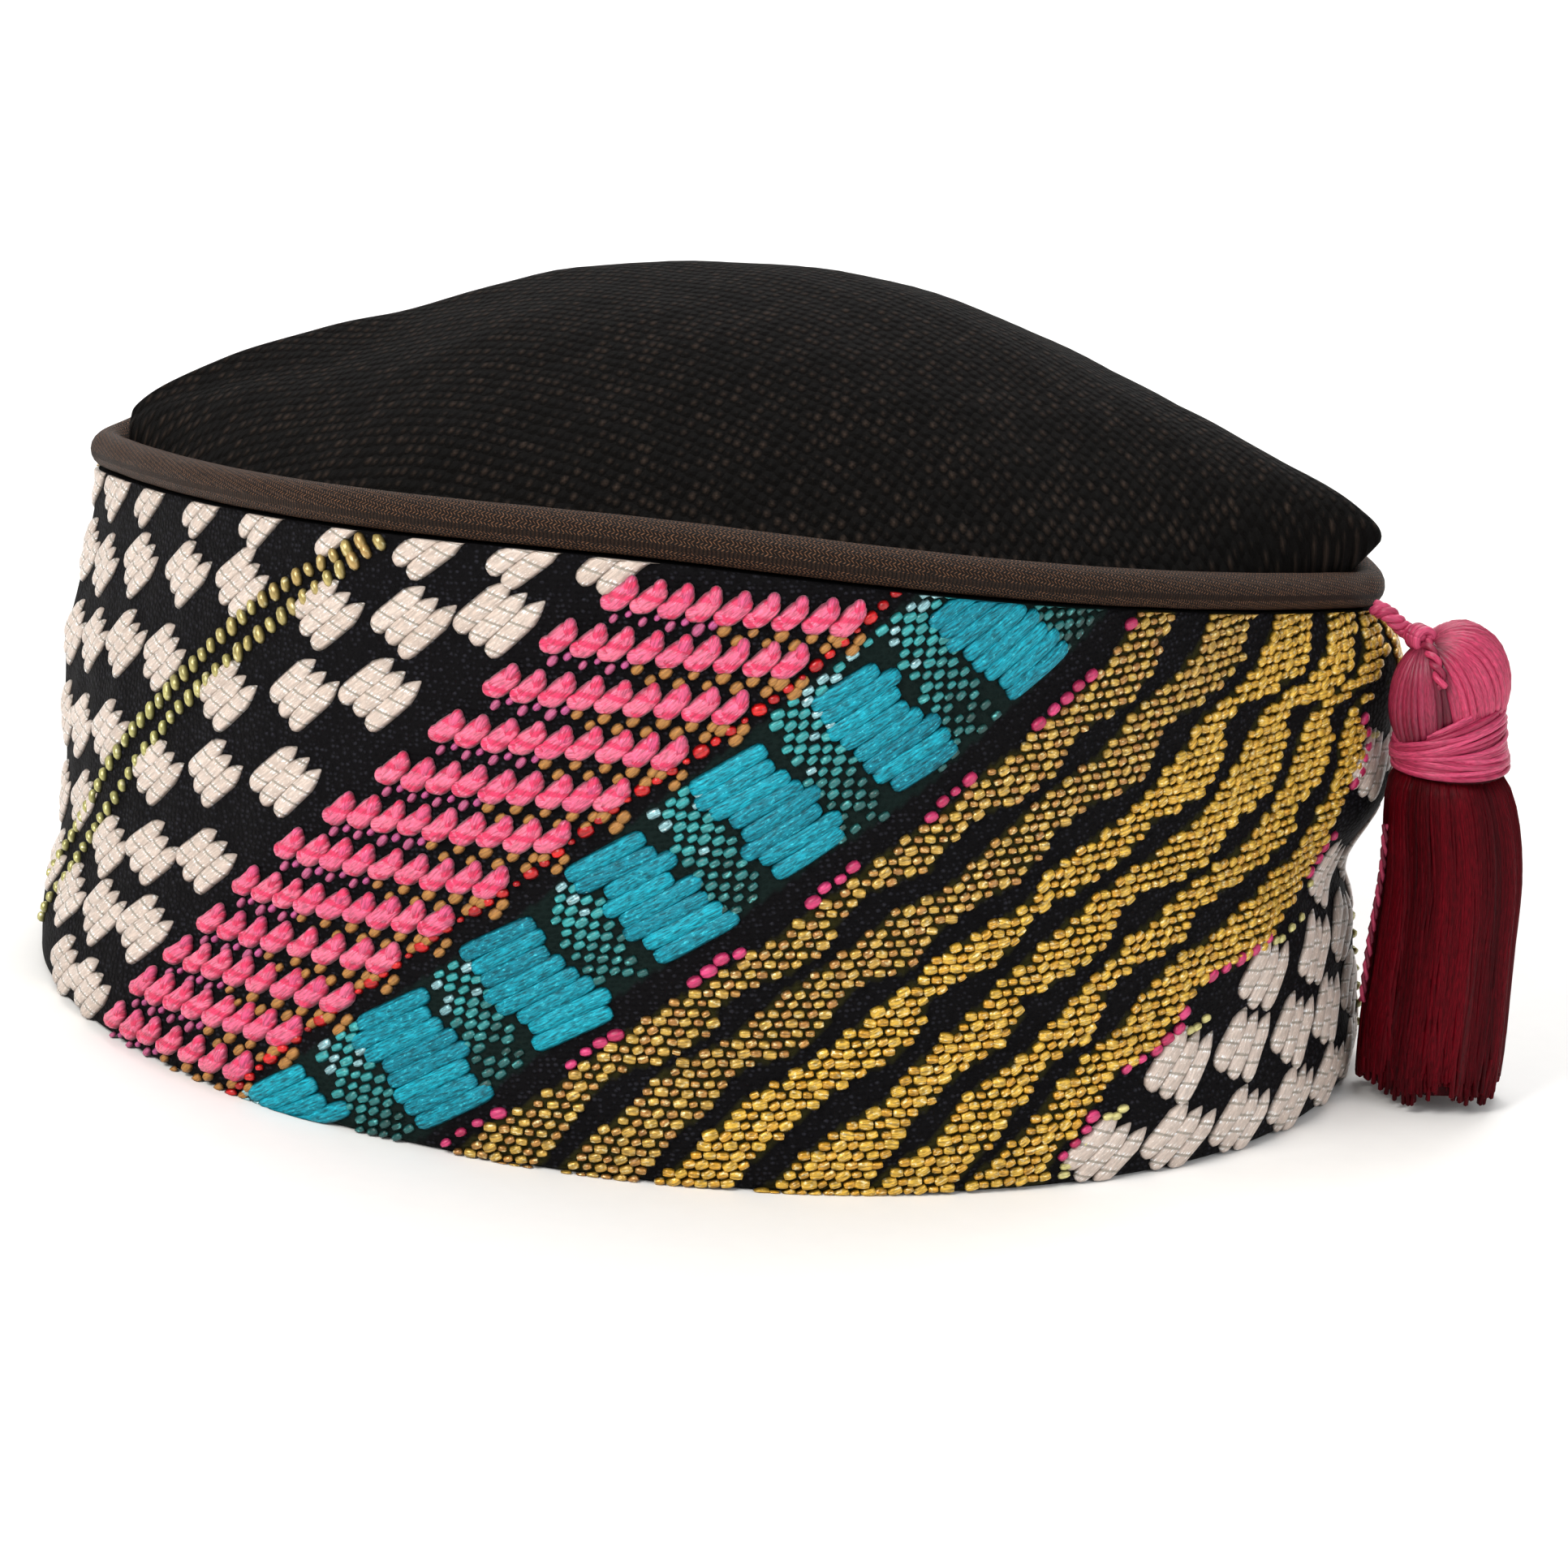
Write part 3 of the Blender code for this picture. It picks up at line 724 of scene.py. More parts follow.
# Ivory checks by diagonal column, from the pink zone outwards
CHECK_COLUMNS = [
    [(317.4, 4.3), (327.4, 16.6), (338.2, 29.5), (352.0, 44.5), (366.3, 60.0), (383.5, 73.5), (398.5, 84.0)],
    [(307.5, 4.0), (315.0, 14.9), (325.3, 26.8), (336.8, 41.6), (353.0, 57.0), (370.3, 70.8), (385.5, 83.0)],
    [(302.0, 13.0), (312.6, 23.7), (322.6, 37.8), (337.0, 52.7), (355.4, 68.8), (370.7, 81.5)],
    [(289.0, 14.0), (298.0, 26.0), (305.0, 38.4), (318.0, 53.1), (336.0, 68.4), (353.5, 81.0)],
    [(283.0, 22.5), (292.0, 35.5), (304.4, 51.4), (320.3, 65.8), (337.5, 78.5)],
    [(281.0, 34.0), (291.5, 48.4), (303.0, 62.5), (320.3, 75.5)],
    [(269.0, 32.0), (279.0, 46.0), (287.8, 58.5), (301.0, 72.5)],
    [(267.0, 44.0), (275.0, 57.5), (285.5, 69.5)],
    [(271.0, 68.0)],
]
# Checks of the next repeat, which the corner squeezes together
CORNER_CHECKS = [
    (471.7, 4.0), (483.9, 4.2), (496.1, 4.2), (508.3, 4.2), (520.5, 4.2), (533.0, 4.2), (545.0, 4.2),
    (485.0, 14.0), (497.8, 14.2), (510.0, 13.6), (521.7, 13.6), (534.5, 13.6),
    (503.9, 23.0), (518.9, 22.8), (531.5, 22.8), (525.5, 32.2), (538.5, 33.0), (530.5, 47.8),
]
# Rows of pink knots: first knot, last knot
KNOT_ROWS = [
    ((326.0, 3.6), (352.0, 4.3)),
    ((331.3, 10.1), (358.5, 11.2)),
    ((336.6, 16.2), (365.5, 17.6)),
    ((341.7, 22.3), (372.0, 24.5)),
    ((347.7, 29.3), (379.0, 31.3)),
    ((354.9, 36.6), (386.5, 38.2)),
    ((362.4, 43.6), (394.0, 45.4)),
    ((370.0, 50.6), (401.5, 52.0)),
    ((377.5, 57.9), (409.0, 58.8)),
    ((384.8, 65.3), (416.5, 65.6)),
    ((392.5, 72.6), (424.0, 72.3)),
    ((400.3, 79.3), (431.5, 78.5)),
]
RED_LINE = [(350.5, 0), (357.5, 8), (367.5, 18.5), (380, 30.5), (390.3, 39.4), (402, 51), (412, 59),
            (425.5, 70.5), (434, 78.5), (438.5, 83)]
GOLD_LINES = [
    [(289, 12), (303, 28), (313, 41), (321, 49), (331.5, 58.7), (340, 66.5), (350, 73.5), (361, 80.5)],
    [(291, 6), (305, 23), (311.5, 30), (318, 39.5), (325, 47.5), (335, 56.7), (345, 65.3), (355, 73.8),
     (364, 81)],
]
TEAL_BLOCKS = [(364.3, -1.0), (379.0, 12.4), (393.5, 25.6), (407.6, 39.3), (422.4, 52.3), (437.6, 64.3),
               (453.5, 76.0)]
TEAL_LEFT = [(351.5, 0), (374, 20), (391, 35), (405.5, 50.5), (420, 63.5), (432, 75), (442, 83)]
TEAL_RIGHT = [(379, 0), (404, 25), (428, 45), (441, 54), (455, 66), (472, 78)]
# Pink dots of the two lines beside the amber waves
ROSE_DOTS = [
    [(383.5, 1.5), (385.5, 3.5), (387.7, 5.3), (390.3, 7.1), (399.0, 15.0), (400.8, 17.0), (402.6, 18.5),
     (404.5, 19.8), (414.2, 28.4), (416.0, 30.0), (417.5, 31.8), (419.8, 32.8), (429.0, 40.3), (430.4, 42.3),
     (432.5, 43.5), (434.1, 45.2), (444.5, 52.0), (446.0, 54.1), (447.8, 55.4), (449.9, 56.9), (460.3, 63.8),
     (462.6, 65.6), (464.8, 66.9), (466.8, 68.4), (469.0, 69.6), (476.3, 75.8)],
    [(465.0, 4.4), (466.7, 6.1), (468.3, 7.8), (469.4, 9.4), (475.2, 15.1), (477.8, 16.1), (480.5, 16.9),
     (482.5, 18.1), (484.7, 19.2), (485.8, 21.2), (491.6, 25.4), (494.4, 26.1), (497.8, 26.5), (501.1, 27.2),
     (504.4, 28.1), (518.6, 34.3), (520.3, 36.0), (520.9, 37.8), (522.5, 39.2), (525.0, 46.8), (526.7, 48.1),
     (527.8, 49.8), (529.0, 51.3), (528.6, 53.5), (527.4, 55.7)],
]
PALE_DOTS = [(465.4, 1.6), (465.6, 2.9), (468.3, 5.7), (471.8, 9.1), (473.0, 9.0), (474.2, 9.9),
             (486.8, 18.6), (488.2, 18.8), (490.2, 19.6), (506.6, 27.3), (508.2, 27.2), (511.2, 28.1),
             (514.8, 28.7), (519.4, 32.4), (520.8, 31.6), (530.6, 52.6), (532.0, 52.4)]
# Left and right edges of the six amber waves, which the corner's crease bends
AMBER_EDGES = [
    ([(384.5, 0), (390.6, 6.6), (398.2, 12.5), (405.6, 20.2), (413.8, 27.2), (421.8, 33.1), (430.2, 40.2),
      (437.8, 46.9), (446.0, 52.5), (452.6, 58.4), (457.6, 60.8), (461.6, 64.3), (470, 69.4),
      (475.6, 74.4), (479.5, 80)],
     [(396, 0), (398.8, 5.5), (401, 9.6), (405.5, 14.9), (411.4, 17.5), (416.8, 21.4), (417.6, 24.9),
      (420.4, 27.8), (426.5, 30.2), (431.2, 34.3), (432.2, 37.2), (436.3, 41.9), (444.7, 44.9),
      (447.1, 48.4), (450.4, 51.4), (457.1, 53.7), (463.6, 57.2), (464, 59.4), (468.3, 62.8),
      (476.7, 65.6), (480.6, 68.9), (482, 72.8), (489, 80)]),
    ([(398.2, 0), (401.8, 4.9), (407.6, 10.8), (411, 15.5), (415.9, 19), (420.6, 21.9), (425, 27.2),
      (430, 30.8), (435.3, 34.9), (439.4, 39), (446.3, 41.9), (452.4, 47.2), (459.6, 52.6), (464.4, 55.6),
      (470, 58.3), (475.4, 62.8), (480, 65.6), (485.6, 68.1), (489.4, 70.8), (493.3, 75), (497, 80)],
     [(408.5, 0), (412.4, 6.6), (417.1, 10.8), (419.4, 14.9), (421.8, 17.2), (427.6, 19), (430.8, 21.4),
      (432.6, 24.9), (435.7, 29), (442.9, 31.4), (446, 36.1), (449.2, 39), (457.1, 42.3), (461.9, 46.6),
      (464.2, 49.6), (469.3, 51.9), (473.9, 52.9), (479, 55), (480.9, 58.3), (482.6, 61.7), (488.3, 62.8),
      (493.9, 65), (499.6, 67.8), (500, 71.7), (506, 76)]),
    ([(411, 0), (415.3, 4.9), (418.2, 8.4), (421.8, 13.1), (427.6, 16.1), (432.4, 20.2), (439.2, 26.6),
      (447.5, 33.7), (452.9, 36.6), (459.4, 40.2), (462.9, 43.7), (469.2, 47), (475.4, 50), (480, 52.8),
      (484.4, 56.1), (488.3, 59.4), (491.1, 61.9), (496.1, 63.3), (501.1, 65.6), (503.9, 68.3),
      (507.8, 71.7), (511, 76)],
     [(421, 0), (422.9, 3.7), (427.6, 9), (431.2, 12.5), (435.7, 16.1), (440.6, 18.4), (444.4, 22.5),
      (444.9, 26.1), (449.2, 29.6), (454.1, 31.4), (458.4, 34.3), (460.2, 38.4), (468.2, 40.8),
      (476.1, 44.4), (480.6, 48.3), (488.3, 50.6), (491.1, 52.2), (495, 55.6), (495.2, 59.4),
      (499.4, 61.9), (502.8, 62.8), (510.6, 63.6), (513.3, 65), (515.6, 68.3), (517.8, 71.4), (520, 75)]),
    ([(424.5, 0), (429.4, 5.5), (434.1, 9.6), (440, 13.1), (442.9, 17.2), (450.6, 24.3), (454.1, 27.8),
      (459.6, 32.2), (465, 36.1), (470, 39.4), (475.6, 41.7), (480, 43.9), (486.1, 46.7), (490.6, 48.9),
      (493.9, 51.1), (498.3, 54.4), (502.2, 58.9), (503.3, 60.6), (508.3, 61.7), (513.9, 63.3),
      (517.2, 65.6), (520, 67.5), (522, 71)],
     [(437.5, 0), (439.4, 3.7), (444.1, 10.8), (450, 16.6), (455.9, 20.2), (459, 23.7), (458.6, 26.6),
      (464, 28.4), (470, 31.1), (472.8, 33.9), (473.9, 37.2), (478.9, 39.4), (486.1, 40), (489.4, 41.1),
      (493.9, 43.3), (495.2, 45.6), (501.1, 47.8), (506.7, 50), (508.3, 52.8), (509.4, 55.6),
      (508.5, 58.9), (513.3, 60.6), (518.9, 61), (522.8, 62.8), (525.6, 64.4), (526.1, 66.7), (529.6, 70)]),
    ([(438, 0), (441.2, 4.3), (446.5, 7.8), (449.4, 11.9), (453.5, 15.5), (459.6, 19), (466.4, 25.6),
      (470, 28.3), (475, 32.2), (479.4, 34.4), (483.9, 36.7), (488.3, 39.4), (495, 41.1), (500.6, 43.9),
      (505, 46.1), (507.8, 48.9), (510.6, 51.7), (511.7, 55), (513.9, 58.3), (515.6, 59.4), (520.8, 61.2),
      (523.3, 61.7), (526.7, 63.9), (528.9, 66.7), (531.9, 70)],
     [(448, 0), (452.4, 4.3), (455.9, 9), (459.4, 12.5), (461.4, 15), (464.6, 18.3), (468.3, 19.4),
      (470.6, 22.2), (472.2, 26.7), (478.3, 29.4), (483.9, 30.6), (486.9, 32.2), (488, 35), (496.7, 37.5),
      (508.3, 40.6), (510.6, 42.2), (512.2, 45.6), (516.1, 47.8), (518.9, 50.6), (520, 53.3),
      (518.4, 56.7), (518.9, 58.3), (524.4, 60), (528.9, 60.7), (532.8, 62.8), (534.4, 65), (535.2, 70)]),
    ([(450.5, 0), (454.7, 4.9), (460, 9.4), (463.5, 13.3), (466.9, 16.1), (470, 18.3), (473.9, 21.1),
      (478.3, 25), (482.8, 28.3), (487.2, 29.4), (491.1, 31.1), (497.2, 33.3), (502.2, 35.6),
      (507.2, 37.8), (512.8, 38.9), (515, 41.7), (516.7, 44.4), (519.4, 47.2), (521.1, 50), (521.7, 53.9),
      (523.3, 57.2), (525.6, 58.6), (531, 59.4), (535, 60.6), (536.4, 64), (536.4, 70)],
     [(462.5, 0), (463.8, 4.4), (468.4, 9.4), (471, 12.2), (474, 15), (481, 17.9), (485, 21.1),
      (487.9, 23.9), (491, 25.3), (501, 26.2), (506, 28.1), (508.8, 30), (515, 32.8), (517.6, 34.4),
      (519.8, 37.8), (521.5, 41.7), (522.8, 44.4), (525.6, 48.1), (527.9, 51.1), (527.6, 53.3),
      (526.4, 55.6), (526.2, 57.8), (531.2, 59.4), (545, 62), (548, 70)]),
]

# Where the far side's amber waves end, and by how much that edge leans
FAR_EDGE = 215.5
FAR_SLOPE = 0.82

# Heights, lengths and widths of the thread floats
CHECK_FINGER = 11.0
CHECK_FINGER_WIDTH = 2.55
CHECK_ANGLE = math.radians(43)
KNOT_PITCH = 4.05
DOT_PITCH = 1.72
DOT_ROW = 1.38
WEFT_RISE = 0.05


def scatter(index, salt=0.0):
    """An even, repeatable scatter of numbers from 0 to 1 for whole-number places."""
    value = np.sin(np.asarray(index, float) * 12.9898 + salt * 78.233) * 43758.5453
    return value - np.floor(value)


def moved_round(floats, repeats=1):
    """A copy of rows of floats, moved round the band by whole pattern repeats."""
    moved = np.array(floats, float)
    moved[:, 0] += repeats * REPEAT
    return moved


def all_repeats(floats):
    """Rows of floats with their copies one pattern repeat to each side."""
    return np.concatenate([moved_round(floats, repeats) for repeats in (-1, 0, 1)])


def along_line(line, pitch):
    """Places a pitch apart along a charted line."""
    line = np.asarray(line, float)
    lengths = np.concatenate([[0.0], np.cumsum(np.hypot(*np.diff(line, axis=0).T))])
    at = np.arange(0.0, lengths[-1], pitch)
    return [(np.interp(place, lengths, line[:, 0]), np.interp(place, lengths, line[:, 1])) for place in at]


def edge_at(edge, z):
    """How far round the band a charted edge lies at a height."""
    edge = np.asarray(edge, float)
    return np.interp(z, edge[:, 1], edge[:, 0])


def inside_stripe(u, z, left, right, margin=0.0):
    """Which places lie between two charted edges, and how far across from the left one."""
    low = edge_at(left, z)
    high = edge_at(right, z)
    return (u > low + margin) & (u < high - margin), (u - low) / (high - low)


def far_checks():
    """Checks of the far side: the near side's rows carried on round the corner to the amber waves."""
    kept = [place for column in CHECK_COLUMNS for place in column]
    added = []
    for column in range(0, 14):
        for step in range(-6, 3):
            u = 271.0 + 11.5 * step - 1.5 * column
            z = 68.0 + 14.0 * step - 12.5 * column + 14.0 * (column // 2)
            clear = all(math.hypot(u - near_u, z - near_z) > 8.5 for near_u, near_z in kept + added)
            if u < 272 and 1.5 < z < 78 and u > FAR_EDGE + FAR_SLOPE * z + 8.0 and clear:
                added.append((u, z))
    return added


def check_floats():
    """Long silk floats that make up the ivory checks: three staggered fingers each."""
    near = [place for column in CHECK_COLUMNS for place in column]
    places = near + [(u + REPEAT, z) for u, z in near if u + REPEAT > 540]
    places += [(u - REPEAT, z) for u, z in near]
    places += CORNER_CHECKS + far_checks()
    rows = []
    for number, (u, z) in enumerate(places):
        lean = CHECK_ANGLE + 0.14 * (scatter(number, 3) - 0.5)
        for finger in (-1, 0, 1):
            # the fingers lie side by side along the falling diagonal, each a step farther on
            mark = number * 3 + finger
            side = finger * CHECK_FINGER_WIDTH
            slide = finger * 0.9 + 0.7 * (scatter(mark, 5) - 0.5) - 0.3 * (finger == 0)
            reach = CHECK_FINGER / 2 * (0.93 + 0.12 * scatter(mark, 7) + 0.03 * finger)
            wide = CHECK_FINGER_WIDTH / 2 * (1.30 if finger == -1 else 1.22)
            rows.append((u + slide * math.cos(lean) + side * math.sin(lean),
                         z + slide * math.sin(lean) - side * math.cos(lean) + 0.6,
                         lean + 0.03 * finger, reach, wide, 0.66, scatter(mark, 1), 0.03))
    return rows


def gold_floats():
    """Beads of the gold double line through the checks, small and thin at the foot, large at the top."""
    rows = []
    for number, line in enumerate(GOLD_LINES):
        for index, (u, z) in enumerate(along_line(line, 2.75)):
            grown = np.clip((z - 12) / 40, 0, 1)
            size = (0.86 + 0.28 * scatter(index, number + 2)) * (0.72 + 0.36 * grown)
            warm = np.clip((z - 45) / 40, 0, 1) * (0.5 + 0.5 * scatter(index, number + 5))
            lean = 2.20 + 0.5 * (scatter(index, 4 + number) - 0.5)
            rows.append((u, z, lean, 1.22 * size, (0.60 + 0.16 * grown) * size, 1.0, warm, 0.06))
    return all_repeats(rows)


def knot_places():
    """Each knot of the pink rows: its mark, its place and how far along its row it lies."""
    for number, ((u0, z0), (u1, z1)) in enumerate(KNOT_ROWS):
        count = max(int(round((u1 - u0) / KNOT_PITCH)), 1)
        for index in range(count + 1):
            share = index / count
            mark = number * 40 + index
            u = u0 + (u1 - u0) * share + 0.3 * (scatter(mark, 6) - 0.5)
            yield mark, u, z0 + (z1 - z0) * share + 0.3 * (scatter(mark, 7) - 0.5), u - u0


def knot_floats():
    """Pink knots: a plump float that rises to the right, with a rounder one at its foot and at its head."""
    rows = []
    for mark, u, z, _ in knot_places():
        lean = math.radians(44 + 12 * (scatter(mark, 1) - 0.5))
        size = 0.93 + 0.14 * scatter(mark, 8)
        shade = scatter(mark, 4)
        rows.append((u + 0.10, z + 0.10, lean, 2.75 * size, 1.50 * size, 1.25, 0.5 * shade, 0.12))
        rows.append((u - 1.10, z - 0.85, lean - 0.50, 1.75, 1.25, 1.05, 0.6 * shade, 0.12))
        rows.append((u + 1.10, z + 1.45, lean + 0.50, 1.55, 0.95, 1.20, 0.4 + 0.6 * shade, 0.25))
    return all_repeats(rows)


def small_dot_floats():
    """Small dots between the knots: one purple-pink in the left of the zone, two tan in the rest."""
    rows = []
    for mark, u, z, run in knot_places():
        size = (0.80 + 0.35 * scatter(mark, 2)) * (0.82 + 0.012 * run)
        if run > 10.0 + 4 * scatter(mark, 9):
            rows.append((u - 1.2, z - 2.65, 0.75, 0.98 * size, 0.74 * size, 0.75, 0.75 + 0.25 * size, 0.05))
            rows.append((u + 0.7, z - 3.95, 0.75, 0.90 * size, 0.68 * size, 0.65, 1.0, 0.05))
        else:
            rows.append((u - 0.8, z - 3.10, 0.95, 1.10 * size, 0.72 * size, 0.7, 0.15, 0.05))
            rows.append((u + 1.2, z - 2.3, 0.8, 0.80 * size, 0.62 * size, 0.6, 0.0, 0.05))
        if run > 24.0:
            rows.append((u + 1.6, z - 2.45, 0.8, 0.85 * size, 0.66 * size, 0.75, 1.0, 0.02))
    return all_repeats(rows)


def red_floats():
    """Dots of the red line beside the pink zone, a large one, two smaller and a tiny one."""
    rows = []
    for index, (u, z) in enumerate(along_line(RED_LINE, 2.4)):
        size = (1.15, 0.82, 0.90, 0.55)[index % 4] * (0.92 + 0.16 * scatter(index, 3))
        rows.append((u, z, 0.2 + 0.4 * scatter(index, 6), size, 0.80 * size, 0.8, scatter(index, 8), 0.05))
    return all_repeats(rows)


def teal_block_floats():
    """The long floats of each solid teal block, side by side, with uneven ends."""
    rows = []
    for number, (u, z) in enumerate(TEAL_BLOCKS):
        for index in range(8):
            side = index - 3.5
            mark = number * 8 + index
            slide = 1.9 * (scatter(mark, 3) - 0.5)
            cu = u + 1.66 * side + slide
            cz = z - 1.47 * side + slide * 0.7
            reach = 5.85 + 1.2 * (scatter(mark, 5) - 0.5)
            lean = math.radians(34) + 0.08 * (scatter(mark, 6) - 0.5)
            rows.append((cu, cz, lean, reach, 1.38, 0.80, 0.9 * scatter(mark, 2), 0.03))
    return all_repeats(rows)


def on_teal_block(u, z):
    """Whether a place lies under one of the solid teal blocks."""
    for block_u, block_z in TEAL_BLOCKS:
        du, dz = u - block_u, z - block_z
        along = du * math.cos(0.60) + dz * math.sin(0.60)
        side = (du * 1.66 - dz * 1.47) / 2.22
        if abs(along) < 6.0 and abs(side) < 9.4:
            return True
    return False


def teal_dot_floats(silver):
    """Dots between the teal blocks, duller to the right; among those at the left, some are silver."""
    rows = []
    pitch_u, pitch_z = 1.80, 1.56
    for row in range(0, 58):
        z = row * pitch_z + 0.4
        for column in range(0, 82):
            u = 335 + column * pitch_u + row * 0.12
            level = z + WEFT_RISE * (u - 400)
            kept, share = inside_stripe(u, level, TEAL_LEFT, TEAL_RIGHT, 0.4)
            if not kept:
                continue
            mark = row * 90 + column
            bright = share < 0.45 and scatter(mark, 2) < 0.46 - 0.8 * share
            if on_teal_block(u, level) or bright != silver or scatter(mark, 11) < 0.75 * (share - 0.72):
                continue
            darkening = np.clip(1.35 * (share - 0.25) + 0.5 * (scatter(mark, 4) - 0.4), 0, 1)
            size = (0.96 - 0.16 * share) * (0.82 + 0.32 * scatter(mark, 7))
            rows.append((u + 0.3 * (scatter(mark, 8) - 0.5), level + 0.2 * (scatter(mark, 9) - 0.5),
                         0.62 + 0.3 * (scatter(mark, 10) - 0.5), 1.02 * size, 0.70 * size, 0.55, darkening, 0.02))
    return all_repeats(rows)


def wave_dot(mark, u, z, full, painted_lit_bulge=False):
    """One dot of the amber waves: by turns a larger gold and a smaller copper one. Where the band bulges up
    towards the key light, dots are drawn larger and painted lighter, with less copper shade.
    """
    copper = mark % 2
    size = (0.86 if copper else 1.06) * (0.84 + 0.32 * scatter(mark, 4)) * full * (1.08 if painted_lit_bulge else 1.0)
    # painted light: on the bulge that faces the key light the copper share is lowered
    shade = 0.25 * scatter(mark, 3) + (0.4 if painted_lit_bulge else 0.7) * copper
    return u, z, 0.25 + 0.7 * (scatter(mark, 5) - 0.5), 0.84 * size, 0.67 * size, 0.66, shade, 0.05


def amber_floats(first, last):
    """Brick-laid dots of the amber waves from the first to the last of them."""
    rows = []
    for row in range(0, 62):
        z = row * DOT_ROW + 0.5
        for column in range(0, 112):
            mark = row * 131 + column
            u = 380 + column * DOT_PITCH + (row % 2) * DOT_PITCH / 2 + 0.25 * (scatter(mark, 1) - 0.5)
            level = z + WEFT_RISE * (u - 440) + 0.2 * (scatter(mark, 2) - 0.5)
            for left, right in AMBER_EDGES[first:last]:
                if edge_at(left, level) + 0.1 < u < edge_at(right, level) and level < 78:
                    # the last argument marks dots on the bulge that faces the key light, which are painted
                    # lighter
                    rows.append(wave_dot(mark, u, level, 1.12 if first > 0 else 1.0, u > 484 and level > 46))
                    break
    rows = np.asarray(rows, float)
    return np.concatenate([rows, moved_round(rows[rows[:, 0] + REPEAT < SEAM_END])])


def teal_edge(z):
    """Where the teal stripe before the far side's amber waves ends."""
    return edge_at(TEAL_RIGHT, z) - REPEAT


def amber_far_floats(first, last):
    """The same waves on the far side, where no crease bends them."""
    rows = []
    for row in range(0, 60):
        z = row * DOT_ROW + 0.5
        for column in range(0, 106):
            mark = row * 131 + column
            u = 110 + column * DOT_PITCH + (row % 2) * DOT_PITCH / 2
            level = z + WEFT_RISE * (u - 190)
            inside, number = stripe_wave(u, level)
            if inside and u > teal_edge(level) + 2.5 and first <= number < last:
                rows.append(wave_dot(mark, u, level, 1.12 if first > 0 else 1.0))
    return np.asarray(rows, float)


def beside_far_waves(rows):
    """Rows of dots charted on the near side, with their copies along the far side's straight waves."""
    rows = np.asarray(rows, float)
    far = rows.copy()
    left = rows[:, 0] < 478
    left &= rows[:, 1] > (rows[:, 0] - 470) * 1.2
    before = np.maximum(FAR_EDGE + FAR_SLOPE * rows[:, 1] - 79.0, teal_edge(rows[:, 1]) + 1.0)
    far[:, 0] = np.where(left, before, FAR_EDGE + FAR_SLOPE * rows[:, 1] + 0.6)
    return np.concatenate([rows, far, moved_round(rows)])


def rose_dot_floats():
    """Pink dots beside the amber waves."""
    rows = []
    for line in ROSE_DOTS:
        for index, (u, z) in enumerate(line):
            size = 0.78 + 0.5 * scatter(index, 5)
            lean = 0.3 + 0.4 * scatter(index, 6)
            rows.append((u, z, lean, size, 0.74 * size, 0.8, scatter(index, 8), 0.05))
    return beside_far_waves(rows)


def pale_dot_floats():
    """Pale gold dots where the next repeat's checks begin."""
    return [(u, z, 0.2, 0.95, 0.62, 0.6, 0.2, 0.05) for u, z in PALE_DOTS]


def stripe_wave(u, z):
    """Which places on the far side lie in its regular amber waves, and each place's wave by number."""
    across = u - z * FAR_SLOPE - FAR_EDGE + 77.0
    number = np.floor(across / 12.9)
    along = (z + 3.3 * number) % 14.0
    bite = 0.16 + 0.20 * np.exp(-((along - 7.0) / 2.6) ** 2)
    inside = (across > 0) & (across < 76.5) & ((across / 12.9) % 1.0 < 1 - bite)
    return inside, np.clip(number, 0, 5)


def ground_tints(u, z):
    """Where the ground's binding threads are olive, under the amber waves, or green, by the teal."""
    olive = stripe_wave(u, z)[0] & (u < 330)
    for left, right in AMBER_EDGES:
        olive |= inside_stripe(u, z, left, right)[0] & (u > 380)
        olive |= inside_stripe(u - REPEAT, z, left, right)[0]
    green = np.zeros_like(olive)
    for repeats in (-1, 0, 1):
        green |= inside_stripe(u - repeats * REPEAT, z, TEAL_LEFT, TEAL_RIGHT)[0]
    outside = z >= 0
    return olive & outside, green & outside


# Pieces


def make_ground(material):
    """The black ground cloth of the band, inside and out, with its turned hem."""
    round_steps, outside, inside = 720, 88, 18
    u = SEAM_START + ROUND * np.arange(round_steps) / round_steps
    edge = band_edge(u)
    levels = np.concatenate([np.linspace(0, 1, outside), np.linspace(1, 0, inside)])
    insets = np.concatenate([np.zeros(outside), np.full(inside, BAND_WALL - 0.2)])
    insets[0] = 0.9
    insets[outside + inside - 1] = BAND_WALL - 0.9
    heights = levels[:, None] * edge[None]
    heights[0] = 0.0
    heights[1] = 0.7
    heights[-2] = 1.0
    places = band_face(np.broadcast_to(u, heights.shape), heights, insets[:, None])
    places[outside + inside - 1, :, 2] = 0.0
    faces = grid_faces(outside + inside, round_steps, wrap_rows=True, wrap_columns=True)
    item = new_mesh("brocade_ground", places.reshape(-1, 3), faces, material)
    cut_u = np.broadcast_to(u, heights.shape)
    cut_z = np.where(np.arange(outside + inside)[:, None] < outside, heights, -20.0 - heights)
    give_uv(item, "Cloth", np.stack([cut_u.ravel(), cut_z.ravel()], 1))
    olive, green = ground_tints(cut_u.ravel(), cut_z.ravel())
    give_value(item, "olive", olive)
    give_value(item, "green", green)
    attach(item, "root")
    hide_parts("side_band")


def crown_rim(share):
    """Where the crown's cloth meets the piping's inner side."""
    plan = outline_at(TOP, share)
    inner = plan - outline_normal(TOP, share) * (PIPING_RADIUS + SEAM_GAP)
    return np.concatenate([inner, seam_height(plan[..., 0])[..., None]], -1)


